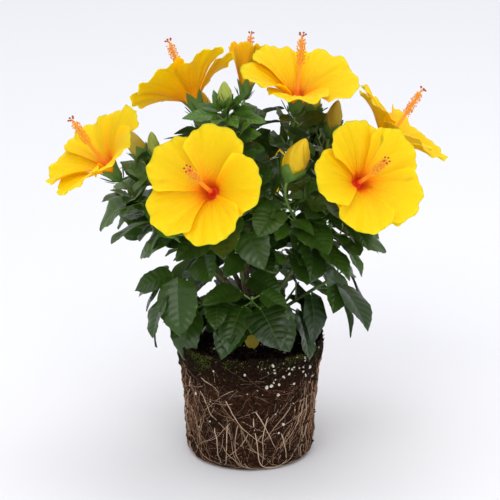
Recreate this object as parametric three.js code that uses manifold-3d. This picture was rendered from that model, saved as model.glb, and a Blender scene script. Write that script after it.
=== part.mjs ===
// A hibiscus shrub in full flower, lifted out of its nursery pot and standing on its own root ball.
// A short woody trunk forks just above the soil, and each bough carries one mass: a stem with leaves
// on stalks, side twigs, and a large five-petalled bloom, a bud or a tuft of leaves at its end. Low
// leafy masses with no bough grow from the trunk itself and hang over the root ball.
// Millimetres, +Z up, the origin at the middle of the root ball's flat underside, the front at -Y.

import * as THREE from "three";
import { mergeVertices } from "three/addons/utils/BufferGeometryUtils.js";
import Module from "manifold-3d";

const wasm = await Module();
wasm.setup();

const UP = new THREE.Vector3(0, 0, 1);
const CLEARANCE = 0.3; // between two sub-parts that meet
const SAME = 0.001; // points nearer than this are one point

// The root ball keeps the shape of a 13 cm nursery pot, which flares a little more near its top.
const ROOT_BALL = {
  topRadius: 63,
  bottomRadius: 54,
  height: 100,
  edgeRadius: 7,
  collarDepth: 22,
  collarStep: 1.5,
  rimHeight: 7,
  rimWidth: 5,
  flatRadius: 14,
  sides: 24,
  // Waves that make the side uneven: how many in a turn, radians for each mm up, and their height.
  waves: [
    { round: 5, up: 0.13, height: 1.1 },
    { round: 11, up: -0.21, height: 0.77 },
  ],
  // Waves in the height of the top: how many in a turn, radians for each mm across, and their height.
  topWave: { round: 7, across: 0.3, height: 1.1 },
};
const SOIL = ROOT_BALL.height;

// The trunk, from its flat cut on the soil to its tip.
const TRUNK = {
  height: 50,
  lean: [-3, 3],
  bow: 1.5,
  flareRadius: 8.5,
  flareHeight: 8,
  radius: 5.4,
  tipRadius: 3.6,
  sides: 10,
  steps: 4,
};

const BOUGH = { radius: 2.5, tipRadius: 1.9, length: 34, sides: 6, steps: 3 };
// The pulls are how far a route keeps its first and its last heading, as shares of its reach.
const STEM = {
  radius: 1.8,
  sideRadius: 1.44,
  tipRadius: 1.2,
  sides: 5,
  step: 26,
  pulls: [0.42, 0.3],
  sidePulls: [0.3, 0.35],
};
const TWIG = {
  radius: 1.1,
  tipRadius: 0.8,
  sides: 3,
  steps: 2,
  spacing: 34, // of stem for each twig
  places: [0.1, 0.75], // the shares of the stem between which the twigs stand
  turn: 150, // degrees round the stem from one twig to the next
  turnSpread: 70,
  length: 26,
  lengthSpread: 16,
  forwards: 0.55, // how far it leans along its stem
  rise: 0.2, // of its tip, as a share of its length
  tipRise: 0.4, // of its last heading
  pull: 0.3,
  leaves: 4,
  firstLeaf: 0.35, // the lowest leaf's place along the twig, and the share to the next
  leafStep: 0.21,
  leafTurn: 90,
  leafLift: 0.1,
  leafSizes: [0.82, 0.58], // low on the plant and at its top, as shares of a full leaf
  leafShrink: 0.08, // from one leaf to the next
};
const ROUTE_STEPS = 48;

const LEAF = {
  length: 54,
  widthRatio: 0.7,
  petioleRatio: 0.3,
  petioleSpread: [0.8, 0.5],
  petioleRadius: 0.8,
  petioleDepth: 1.2,
  thickness: 1.0,
  fold: 0.26,
  curl: 0.2,
  spacing: 11,
  firstGap: 5,
  turn: 144, // degrees round the stem from one leaf to the next
  turnSpread: 40,
  forwards: 0.5, // how far the stalk leans along its shoot, and upwards
  upwards: 0.3,
  outwards: 0.7, // how far the blade turns away from the middle of the plant, and its face
  faceOutwards: 0.75,
  droops: [58, -12], // degrees below level, low on the plant and at its top
  droopSpread: 44,
  rollSpread: 0.7,
  topSize: 0.7, // of a leaf at the top of the plant, as a share of one low down
  sizeSpread: [0.88, 0.24],
  // A leaf with no room is tried again smaller, further round and standing up more.
  tries: 4,
  tryShrink: 0.1,
  tryTurn: 55,
  tryLift: 0.15,
  plainBelow: 36, // a leaf shorter than this has one station
  // Stations along the blade, and the half width there as a share of the widest half width.
  low: { along: 0.27, width: 0.98 },
  high: { along: 0.66, width: 0.7 },
};
// The heights above the soil between which the leaves go from large and drooping to small and level.
const LIFT = { from: 15, span: 190 };

const BLOOM = {
  petals: 5,
  notch: 0.16,
  notchPower: 3,
  ruffle: 2.4,
  ruffleStart: 0.6,
  thickness: 1.3,
  throatRows: 2,
  // Rows of the petals from the calyx to the margin: distance along the axis, radius and points.
  open: [
    [9, 4.6, 5],
    [21, 9.5, 10],
    [33, 28, 15],
    [39, 51, 25],
  ],
  furled: [
    [9, 4.6, 5],
    [22, 8.5, 10],
    [40, 15, 15],
    [56, 24, 25],
  ],
  calyx: [
    [-2, 1.6],
    [3, 5.4],
    [13, 7.4],
  ],
  column: [
    [7.5, 2.2],
    [47, 1.4],
    [54, 4.0],
    [66, 4.0],
    [73, 2.0],
  ],
  columnSides: 5,
  columnBend: 6,
  marks: [0, 12, 60, 72], // places on the axis that stand for the bloom in the test for room
};
const BUD = {
  profile: [
    [-2, 1.6],
    [4, 5.6],
    [14, 7.4],
    [26, 6.8],
    [36, 3.2],
    [40, 0.8],
  ],
  sides: 6,
  marks: [0, 13, 26, 38],
};

// How a shoot ends: the bare length below its end, the leaves gathered there, the size of the lowest
// of them as a share of a full leaf, and how far they stand up. A bloom also has rows of petals.
const ENDS = {
  bloom: { bare: 24, leaves: 2, size: 0.62, lift: 1.1, rows: BLOOM.open },
  furled: { bare: 24, leaves: 3, size: 0.62, lift: 1.1, rows: BLOOM.furled },
  bud: { bare: 24, leaves: 2, size: 0.62, lift: 1.1 },
  tuft_bud: { bare: 24, leaves: 7, size: 0.62, lift: 1.1 },
  tuft: { bare: 6, leaves: 5, size: 0.95, lift: 0.35 },
};
const TUFT = { below: 3, length: 8, lastSize: 0.45 };

// How far the points that stand for a new leaf stay from the points of what has grown already, and
// how those points are spaced: along limbs, and round a bloom as one for so much of its radius.
const ROOM = {
  foreign: 8.8,
  own: 4.4,
  limb: 6.5,
  soil: 1,
  limbFrom: 12,
  boughStep: 6,
  stemStep: 7,
  twigShares: [0.5, 0.75, 1],
  petalShares: [0.5, 1],
  petalRadius: 2,
};
// The same for a leaf: a place on its stalk, and shares of the blade's length and half width.
const LEAF_MARKS = {
  stalk: 0.6,
  blade: [
    [0.02, 0],
    [0.3, 0],
    [0.62, 0],
    [1, 0],
    [0.17, 0.75],
    [0.17, -0.75],
    [0.44, 0.85],
    [0.44, -0.85],
    [0.76, 0.45],
    [0.76, -0.45],
  ],
};

// Each mass draws from its own series of random numbers, which starts at a step from the last one's.
const SEED = { first: 4, step: 7919 };

// Each mass: where its bough leaves the trunk, the rise of the bough in degrees, and its shoots.
// A shoot ends in a bloom, bud or tuft at a place, and faces an azimuth from +X and an elevation.
// A bloom's roll turns its petals from one that points up, and a bud's girth thickens it.
const MASSES = [
  {
    name: "low_left",
    fork: 12,
    rise: 34,
    leader: { end: "tuft", at: [-70, -30, 158], faces: [-156, 30] },
  },
  {
    name: "low_front",
    fork: 14,
    rise: 36,
    leader: { end: "tuft", at: [2, -58, 160], faces: [-84, 34] },
  },
  {
    name: "low_right",
    fork: 10,
    rise: 36,
    leader: { end: "tuft", at: [76, -24, 168], faces: [-16, 30] },
  },
  {
    name: "low_back_left",
    fork: 8,
    rise: 36,
    leader: { end: "tuft", at: [-42, 62, 158], faces: [122, 32] },
  },
  {
    name: "low_back_right",
    fork: 15,
    rise: 34,
    leader: { end: "tuft", at: [52, 56, 158], faces: [44, 32] },
  },
  {
    name: "front",
    fork: 24,
    rise: 58,
    leader: { end: "bloom", at: [-27, -80, 256], faces: [-112, 30], roll: -12 },
    side: { end: "tuft_bud", at: [-20, -44, 320], faces: [-100, 78], from: 0.3, size: 0.6, girth: 1.3 },
  },
  {
    name: "front_right",
    fork: 17,
    rise: 46,
    leader: { end: "bloom", at: [84, -56, 256], faces: [-64, 30], size: 0.96, roll: 12 },
    side: { end: "bud", at: [31, -60, 264], faces: [-30, 66], from: 0.35, girth: 1.35 },
  },
  {
    name: "right",
    fork: 32,
    rise: 48,
    leader: { end: "bloom", at: [106, 34, 256], faces: [8, 50], size: 0.98, roll: 20 },
    side: { end: "bud", at: [66, -4, 284], faces: [-40, 74], from: 0.42, size: 0.85, girth: 1.1 },
  },
  {
    name: "upper_right",
    fork: 41,
    rise: 56,
    leader: { end: "bloom", at: [37, -5, 304], faces: [-60, 76] },
  },
  {
    name: "upper_left",
    fork: 38,
    rise: 46,
    leader: { end: "bloom", at: [-42, 30, 293], faces: [132, 50], size: 0.98 },
  },
  {
    name: "crown",
    fork: 50,
    rise: 86,
    leader: { end: "furled", at: [-5, 64, 298], faces: [76, 60], size: 0.8 },
  },
  {
    name: "left",
    fork: 34,
    rise: 44,
    leader: { end: "bloom", at: [-108, -38, 257], faces: [-160, 50], size: 0.96 },
    side: { end: "bud", at: [-78, -38, 276], faces: [-120, 76], from: 0.42, size: 0.6, girth: 1.1 },
  },
  {
    name: "back_left",
    fork: 20,
    rise: 48,
    leader: { end: "tuft_bud", at: [-88, 62, 240], faces: [146, 48], size: 0.9, girth: 1.1 },
  },
  {
    name: "back",
    fork: 30,
    rise: 48,
    leader: { end: "bloom", at: [-12, 96, 196], faces: [96, 24], roll: -8 },
    side: { end: "bud", at: [-38, 78, 262], faces: [110, 74], from: 0.45, size: 0.9, girth: 1.3 },
  },
  {
    name: "back_right",
    fork: 25,
    rise: 48,
    leader: { end: "bloom", at: [80, 78, 196], faces: [42, 26], size: 0.97, roll: 15 },
    side: { end: "tuft_bud", at: [52, 54, 282], faces: [60, 76], from: 0.4, size: 0.8, girth: 1.2 },
  },
];

const COLOURS = {
  soil: new THREE.MeshStandardMaterial({ color: 0x3a2518, roughness: 0.95, metalness: 0 }),
  bark: new THREE.MeshStandardMaterial({ color: 0x6d5a3c, roughness: 0.85, metalness: 0 }),
  foliage: new THREE.MeshStandardMaterial({ color: 0x2c5a22, roughness: 0.45, metalness: 0 }),
};

// A linear congruential generator, so that every build grows the same plant.
function seededRandom(seed) {
  let state = seed >>> 0;
  return () => {
    state = (Math.imul(state, 1664525) + 1013904223) >>> 0;
    return state / 4294967296;
  };
}

const lerp = (a, b, t) => a + (b - a) * t;
const clamp = (value, low, high) => Math.min(high, Math.max(low, value));
const radians = (degrees) => (degrees * Math.PI) / 180;

function direction([azimuth, elevation]) {
  const flat = Math.cos(radians(elevation));
  return new THREE.Vector3(
    flat * Math.cos(radians(azimuth)),
    flat * Math.sin(radians(azimuth)),
    Math.sin(radians(elevation)),
  );
}

// How far the leaves stand up at a point: 0 low on the plant, 1 at its top.
function liftAt(point, least) {
  return clamp((point.z - SOIL - LIFT.from) / LIFT.span, least, 1);
}

// The part of a vector that is square to the unit vector `axis`, as a unit vector.
function squareTo(vector, axis) {
  return vector.clone().addScaledVector(axis, -vector.dot(axis)).normalize();
}

// A solid from shared points and triangles.
function solid(points, triangles) {
  const vertProperties = new Float32Array(points.flatMap((p) => [p.x, p.y, p.z]));
  const triVerts = new Uint32Array(triangles.flat());
  return new wasm.Manifold(new wasm.Mesh({ numProp: 3, vertProperties, triVerts }));
}

// Closes rings of equally many points, given in order along an axis, by side faces and two end fans.
function loft(rings) {
  const sides = rings[0].length;
  const points = rings.flat();
  const triangles = [];
  for (let i = 0; i + 1 < rings.length; i++) {
    for (let j = 0; j < sides; j++) {
      const a = i * sides + j;
      const b = i * sides + ((j + 1) % sides);
      triangles.push([a, b, b + sides], [a, b + sides, a + sides]);
    }
  }
  const last = (rings.length - 1) * sides;
  for (let j = 1; j + 1 < sides; j++) {
    triangles.push([0, j + 1, j], [last, last + j, last + j + 1]);
  }
  return solid(points, triangles);
}

// A ring of points round `centre`, square to `axis`, starting on the side of `reference`.
function ring(centre, axis, reference, radius, sides) {
  const across = squareTo(reference, axis);
  const along = new THREE.Vector3().crossVectors(axis, across);
  return Array.from({ length: sides }, (_, j) => {
    const angle = (2 * Math.PI * j) / sides;
    return centre
      .clone()
      .addScaledVector(across, radius * Math.cos(angle))
      .addScaledVector(along, radius * Math.sin(angle));
  });
}

// A smooth route, sampled finely, that gives the point and the heading at a distance along it.
class Route {
  constructor(start, startHeading, end, endHeading, pulls) {
    const reach = start.distanceTo(end);
    const first = start.clone().addScaledVector(startHeading, pulls[0] * reach);
    const second = end.clone().addScaledVector(endHeading, -pulls[1] * reach);
    this.points = new THREE.CubicBezierCurve3(start, first, second, end).getPoints(ROUTE_STEPS);
    this.distances = [0];
    for (let i = 1; i <= ROUTE_STEPS; i++) {
      this.distances.push(this.distances[i - 1] + this.points[i].distanceTo(this.points[i - 1]));
    }
    this.length = this.distances[ROUTE_STEPS];
    this.reference = squareTo(new THREE.Vector3(-endHeading.y, endHeading.x, 0.02), startHeading);
  }

  at(distance) {
    let i = 1;
    while (i < ROUTE_STEPS && this.distances[i] < distance) i++;
    const step = this.distances[i] - this.distances[i - 1];
    const share = (distance - this.distances[i - 1]) / step;
    const point = this.points[i - 1].clone().lerp(this.points[i], share);
    const heading = this.points[i].clone().sub(this.points[i - 1]).normalize();
    return { point, heading };
  }
}

// One tapering limb along a route between two distances.
function limb(route, from, to, startRadius, endRadius, sides, steps) {
  const rings = [];
  for (let i = 0; i <= steps; i++) {
    const { point, heading } = route.at(lerp(from, to, i / steps));
    const radius = lerp(startRadius, endRadius, i / steps);
    rings.push(ring(point, heading, route.reference, radius, sides));
  }
  return loft(rings);
}

// The trunk's axis at a height above the soil: it leans and bows a little.
function trunkAxis(height) {
  const share = height / TRUNK.height;
  const bow = Math.sin(Math.PI * share) * TRUNK.bow;
  return new THREE.Vector3(TRUNK.lean[0] * share + bow, TRUNK.lean[1] * share, SOIL + height);
}

function trunkRadius(height) {
  const flare = Math.max(0, 1 - height / TRUNK.flareHeight);
  const shaft = lerp(TRUNK.radius, TRUNK.tipRadius, height / TRUNK.height);
  return shaft + (TRUNK.flareRadius - TRUNK.radius) * flare * flare;
}

// The trunk, or the same shape grown by `extra` on all sides to cut what meets it.
function trunk(extra) {
  const heights = [CLEARANCE, TRUNK.flareHeight / 3, TRUNK.flareHeight];
  for (let i = 1; i <= TRUNK.steps; i++) {
    heights.push(lerp(TRUNK.flareHeight, TRUNK.height, i / TRUNK.steps));
  }
  const start = new THREE.Vector3(1, 0, 0);
  const rings = heights.map((height, i) => {
    const centre = trunkAxis(height);
    if (i === heights.length - 1) centre.z += extra;
    const radius = trunkRadius(height) + extra / Math.cos(Math.PI / TRUNK.sides);
    return ring(centre, UP, start, radius, TRUNK.sides);
  });
  return loft(rings);
}

// The root ball: the pot's taper and flare, a raised rim of matted roots, and a flat underside.
function rootBall() {
  const b = ROOT_BALL;
  const collar = b.height - b.collarDepth;
  const wall = (z) => lerp(b.bottomRadius, b.topRadius - 2 * b.collarStep, z / b.height);
  const profile = [
    [0, 0],
    [b.bottomRadius - b.edgeRadius, 0],
    [b.bottomRadius - b.edgeRadius * 0.3, b.edgeRadius * 0.3],
    [wall(b.edgeRadius), b.edgeRadius],
    [wall(collar / 2), collar / 2],
    [wall(collar), collar],
    [wall(collar) + b.collarStep, collar + 2 * b.collarStep],
    [b.topRadius, b.height],
    [b.topRadius - b.rimWidth / 3, b.height + b.rimHeight],
    [b.topRadius - b.rimWidth, b.height + b.rimHeight / 2],
    [b.topRadius - 2 * b.rimWidth, b.height],
    [b.flatRadius * 2, b.height],
    [b.flatRadius, b.height],
    [0, b.height],
  ].map(([r, z]) => new THREE.Vector2(r, z));
  const lathe = new THREE.LatheGeometry(profile, b.sides).rotateX(Math.PI / 2);
  lathe.deleteAttribute("normal");
  lathe.deleteAttribute("uv");
  const merged = mergeVertices(lathe, SAME);
  const points = [];
  for (let i = 0; i < merged.attributes.position.count; i++) {
    const p = new THREE.Vector3().fromBufferAttribute(merged.attributes.position, i);
    const around = Math.atan2(p.y, p.x);
    const radius = Math.hypot(p.x, p.y);
    const isTop = p.z > b.height - SAME;
    if (p.z > SAME && radius > 1.5 * b.flatRadius) {
      let bump = 0;
      for (const { round, up, height } of b.waves) bump += height * Math.sin(around * round + p.z * up);
      p.x *= 1 + bump / radius;
      p.y *= 1 + bump / radius;
      const { round, across, height } = b.topWave;
      if (isTop) p.z += height * Math.sin(around * round + radius * across);
    }
    points.push(p);
  }
  const triangles = [];
  for (let i = 0; i < merged.index.count; i += 3) {
    const [a, c, d] = [0, 1, 2].map((k) => merged.index.getX(i + k));
    if (a !== c && c !== d && d !== a) triangles.push([a, c, d]);
  }
  return solid(points, triangles);
}

// The points that stand for all that has grown, against which each new leaf is tested.
class Space {
  constructor() {
    this.taken = [];
  }

  add(owner, isLimb, points) {
    for (const p of points) this.taken.push({ p, owner, isLimb });
  }

  // True if the points keep their distance from other masses, their own leaves and the root ball.
  isFree(owner, points) {
    for (const p of points) {
      const overSoil = Math.hypot(p.x, p.y) < ROOT_BALL.topRadius + ROOM.soil;
      if (overSoil && p.z < SOIL + ROOT_BALL.rimHeight + ROOM.soil) return false;
      for (const t of this.taken) {
        if (t.owner === owner && t.isLimb) continue;
        const room = t.owner === owner ? ROOM.own : t.isLimb ? ROOM.limb : ROOM.foreign;
        if (p.distanceToSquared(t.p) < room * room) return false;
      }
    }
    return true;
  }
}

// How a leaf sits: its stalk's foot and end, the way that the blade points, and its upper side.
function leafPose(node, heading, reference, turn, draws, length, lift) {
  const across = squareTo(reference, heading);
  const around = new THREE.Vector3().crossVectors(heading, across);
  const angle = radians(turn + (draws[0] - 0.5) * LEAF.turnSpread);
  const side = across.multiplyScalar(Math.cos(angle)).addScaledVector(around, Math.sin(angle));
  const stalk = side.clone().addScaledVector(heading, LEAF.forwards);
  stalk.addScaledVector(UP, LEAF.upwards).normalize();
  const [petioleLeast, petioleSpread] = LEAF.petioleSpread;
  const petiole = length * LEAF.petioleRatio * (petioleLeast + petioleSpread * draws[1]);
  const base = node.clone().addScaledVector(stalk, petiole);
  const outward = new THREE.Vector3(base.x, base.y, 0).normalize();
  const flat = new THREE.Vector3(side.x, side.y, 0).addScaledVector(outward, LEAF.outwards).normalize();
  const droop = radians(lerp(...LEAF.droops, lift) + (draws[2] - 0.5) * LEAF.droopSpread);
  const forward = flat.multiplyScalar(Math.cos(droop)).addScaledVector(UP, -Math.sin(droop));
  const face = squareTo(UP.clone().addScaledVector(outward, LEAF.faceOutwards), forward);
  const roll = (draws[3] - 0.5) * LEAF.rollSpread;
  face.addScaledVector(new THREE.Vector3().crossVectors(face, forward), roll).normalize();
  const left = new THREE.Vector3().crossVectors(face, forward);
  return { node, stalk, base, forward, face, left, length };
}

// A point of the blade: shares of its length and of its half width to the left, and a rise above it.
function onBlade(pose, along, across, rise) {
  const curl = LEAF.curl * pose.length * along * along;
  const sideways = (across * pose.length * LEAF.widthRatio) / 2;
  return pose.base
    .clone()
    .addScaledVector(pose.forward, along * pose.length)
    .addScaledVector(pose.left, sideways)
    .addScaledVector(pose.face, rise - curl + Math.abs(sideways) * LEAF.fold);
}

// The points that stand for a leaf in the test for room.
function leafPoints(pose) {
  const blade = LEAF_MARKS.blade.map(([along, across]) => onBlade(pose, along, across, 0));
  return [pose.node.clone().lerp(pose.base, LEAF_MARKS.stalk), ...blade];
}

// A leaf: an ovate blade, folded along its midrib and thickest there, on a three-sided stalk.
function leaf(pose) {
  const { low, high, thickness, petioleRadius, petioleDepth } = LEAF;
  const foot = squareTo(pose.left, pose.stalk);
  const below = new THREE.Vector3().crossVectors(foot, pose.stalk);
  const tip = 6;
  const points = [
    pose.node.clone().addScaledVector(foot, petioleRadius),
    pose.node.clone().addScaledVector(foot, -petioleRadius),
    pose.node.clone().addScaledVector(below, petioleDepth),
    pose.base.clone().addScaledVector(pose.left, petioleRadius),
    pose.base.clone().addScaledVector(pose.left, -petioleRadius),
    pose.base.clone().addScaledVector(pose.face, -petioleDepth),
    onBlade(pose, 1, 0, 0),
  ];
  const stations = pose.length < LEAF.plainBelow ? [low] : [low, high];
  for (const { along, width } of stations) {
    points.push(onBlade(pose, along, width, 0), onBlade(pose, along, -width, 0));
    points.push(onBlade(pose, along, 0, thickness / 2), onBlade(pose, along, 0, -thickness / 2));
  }
  const triangles = [[0, 2, 1], [0, 1, 4], [0, 4, 3], [1, 2, 5], [1, 5, 4], [2, 0, 3], [2, 3, 5]];
  triangles.push([3, 9, 7], [4, 9, 3], [4, 8, 9], [3, 7, 10], [3, 10, 5], [5, 10, 4], [4, 10, 8]);
  for (let k = 7; k + 4 < points.length; k += 4) {
    const [left, right, top, under] = [k, k + 1, k + 2, k + 3];
    triangles.push([top, top + 4, left + 4], [top, left + 4, left]);
    triangles.push([right, right + 4, top + 4], [right, top + 4, top]);
    triangles.push([under, left + 4, under + 4], [under, left, left + 4]);
    triangles.push([right, under + 4, right + 4], [right, under, under + 4]);
  }
  const [left, right, top, bottom] = [4, 3, 2, 1].map((back) => points.length - back);
  triangles.push([top, tip, left], [right, tip, top], [bottom, left, tip], [right, bottom, tip]);
  return solid(points, triangles);
}

// Where a bloom or bud sits: its foot, its axis, the side that its column bends to, and its sizes.
function endPose(shoot) {
  const axis = direction(shoot.faces);
  return {
    base: new THREE.Vector3(...shoot.at),
    axis,
    upper: squareTo(UP, axis),
    roll: radians(shoot.roll ?? 0),
    size: shoot.size ?? 1,
    girth: shoot.girth ?? 1,
  };
}

// A solid turned about a bloom's axis, by distances along it and radii, bent towards its upper side.
function turned(pose, profile, sides, bend = 0) {
  const top = profile[profile.length - 1][0];
  return loft(
    profile.map(([along, radius]) => {
      const centre = pose.base
        .clone()
        .addScaledVector(pose.axis, along * pose.size)
        .addScaledVector(pose.upper, bend * (along / top) ** 2 * pose.size);
      return ring(centre, pose.axis, pose.upper, radius * pose.size * pose.girth, sides);
    }),
  );
}

// A point of the petals at an angle from a notch. `edge` is 0 in the throat and 1 at the lobed margin.
function onPetals(pose, along, radius, edge, angle) {
  const lobe = ((angle * BLOOM.petals) / (2 * Math.PI)) % 1;
  const trim = BLOOM.notch * edge * Math.abs(lobe * 2 - 1) ** BLOOM.notchPower;
  const wave = BLOOM.ruffle * edge * Math.sin(angle * 2 * BLOOM.petals + BLOOM.ruffleStart);
  const reach = radius * (1 - trim) * pose.size;
  const turn = angle + Math.PI / BLOOM.petals + pose.roll;
  const side = new THREE.Vector3().crossVectors(pose.axis, pose.upper);
  return pose.base
    .clone()
    .addScaledVector(pose.axis, (along + wave) * pose.size)
    .addScaledVector(pose.upper, reach * Math.cos(turn))
    .addScaledVector(side, reach * Math.sin(turn));
}

// Triangles between two rings of points that start at the same angle but may differ in number.
function stitch(inner, innerCount, outer, outerCount) {
  const triangles = [];
  let i = 0;
  let j = 0;
  while (i < innerCount || j < outerCount) {
    const a = inner + (i % innerCount);
    const b = outer + (j % outerCount);
    if ((i + 1) / innerCount < (j + 1) / outerCount + SAME) {
      i++;
      triangles.push([a, b, inner + (i % innerCount)]);
    } else {
      j++;
      triangles.push([a, b, outer + (j % outerCount)]);
    }
  }
  return triangles;
}

// Five overlapping petals as one thin funnel, closed at its foot.
function petals(pose, rows) {
  const thick = BLOOM.thickness;
  const points = [];
  const starts = [];
  for (const isBack of [false, true]) {
    rows.forEach(([along, radius, count], i) => {
      starts.push(points.length);
      const isThroat = i < BLOOM.throatRows;
      const behind = isBack ? (isThroat ? thick / 2 : thick) : 0;
      const outside = isBack && isThroat ? thick : 0;
      const edge = (i / (rows.length - 1)) ** 2;
      for (let j = 0; j < count; j++) {
        const angle = (2 * Math.PI * j) / count;
        points.push(onPetals(pose, along - behind, radius + outside, edge, angle));
      }
    });
  }
  const front = points.length;
  points.push(pose.base.clone().addScaledVector(pose.axis, rows[0][0] * pose.size));
  points.push(pose.base.clone().addScaledVector(pose.axis, (rows[0][0] - 2 * thick) * pose.size));
  const triangles = [];
  for (let i = 0; i + 1 < rows.length; i++) {
    const [inner, outer] = [rows[i][2], rows[i + 1][2]];
    triangles.push(...stitch(starts[i], inner, starts[i + 1], outer));
    const back = i + rows.length;
    const turnedOver = stitch(starts[back], inner, starts[back + 1], outer);
    triangles.push(...turnedOver.map(([a, b, c]) => [a, c, b]));
  }
  const foot = rows[0][2];
  for (let j = 0; j < foot; j++) {
    const k = (j + 1) % foot;
    triangles.push([front, j, k], [front + 1, starts[rows.length] + k, starts[rows.length] + j]);
  }
  const rim = rows[rows.length - 1][2];
  const [frontRim, backRim] = [starts[rows.length - 1], starts[2 * rows.length - 1]];
  for (let j = 0; j < rim; j++) {
    const k = (j + 1) % rim;
    triangles.push([frontRim + j, backRim + j, backRim + k], [frontRim + j, backRim + k, frontRim + k]);
  }
  return solid(points, triangles);
}

function bloom(pose, rows) {
  const calyx = turned(pose, BLOOM.calyx, BUD.sides);
  const column = turned(pose, BLOOM.column, BLOOM.columnSides, BLOOM.columnBend);
  return petals(pose, rows).add(calyx).add(column);
}

// The points that stand for a bloom or bud in the test for room.
function endPoints(pose, rows) {
  const onAxis = (along) => pose.base.clone().addScaledVector(pose.axis, along * pose.size);
  if (!rows) return BUD.marks.map(onAxis);
  const points = BLOOM.marks.map(onAxis);
  for (let i = 1; i < rows.length; i++) {
    for (const share of ROOM.petalShares) {
      const along = lerp(rows[i - 1][0], rows[i][0], share);
      const radius = lerp(rows[i - 1][1], rows[i][1], share);
      const count = Math.ceil(radius / ROOM.petalRadius);
      for (let j = 0; j < count; j++) {
        points.push(onPetals(pose, along, radius, 0, (2 * Math.PI * j) / count));
      }
    }
  }
  return points;
}

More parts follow.
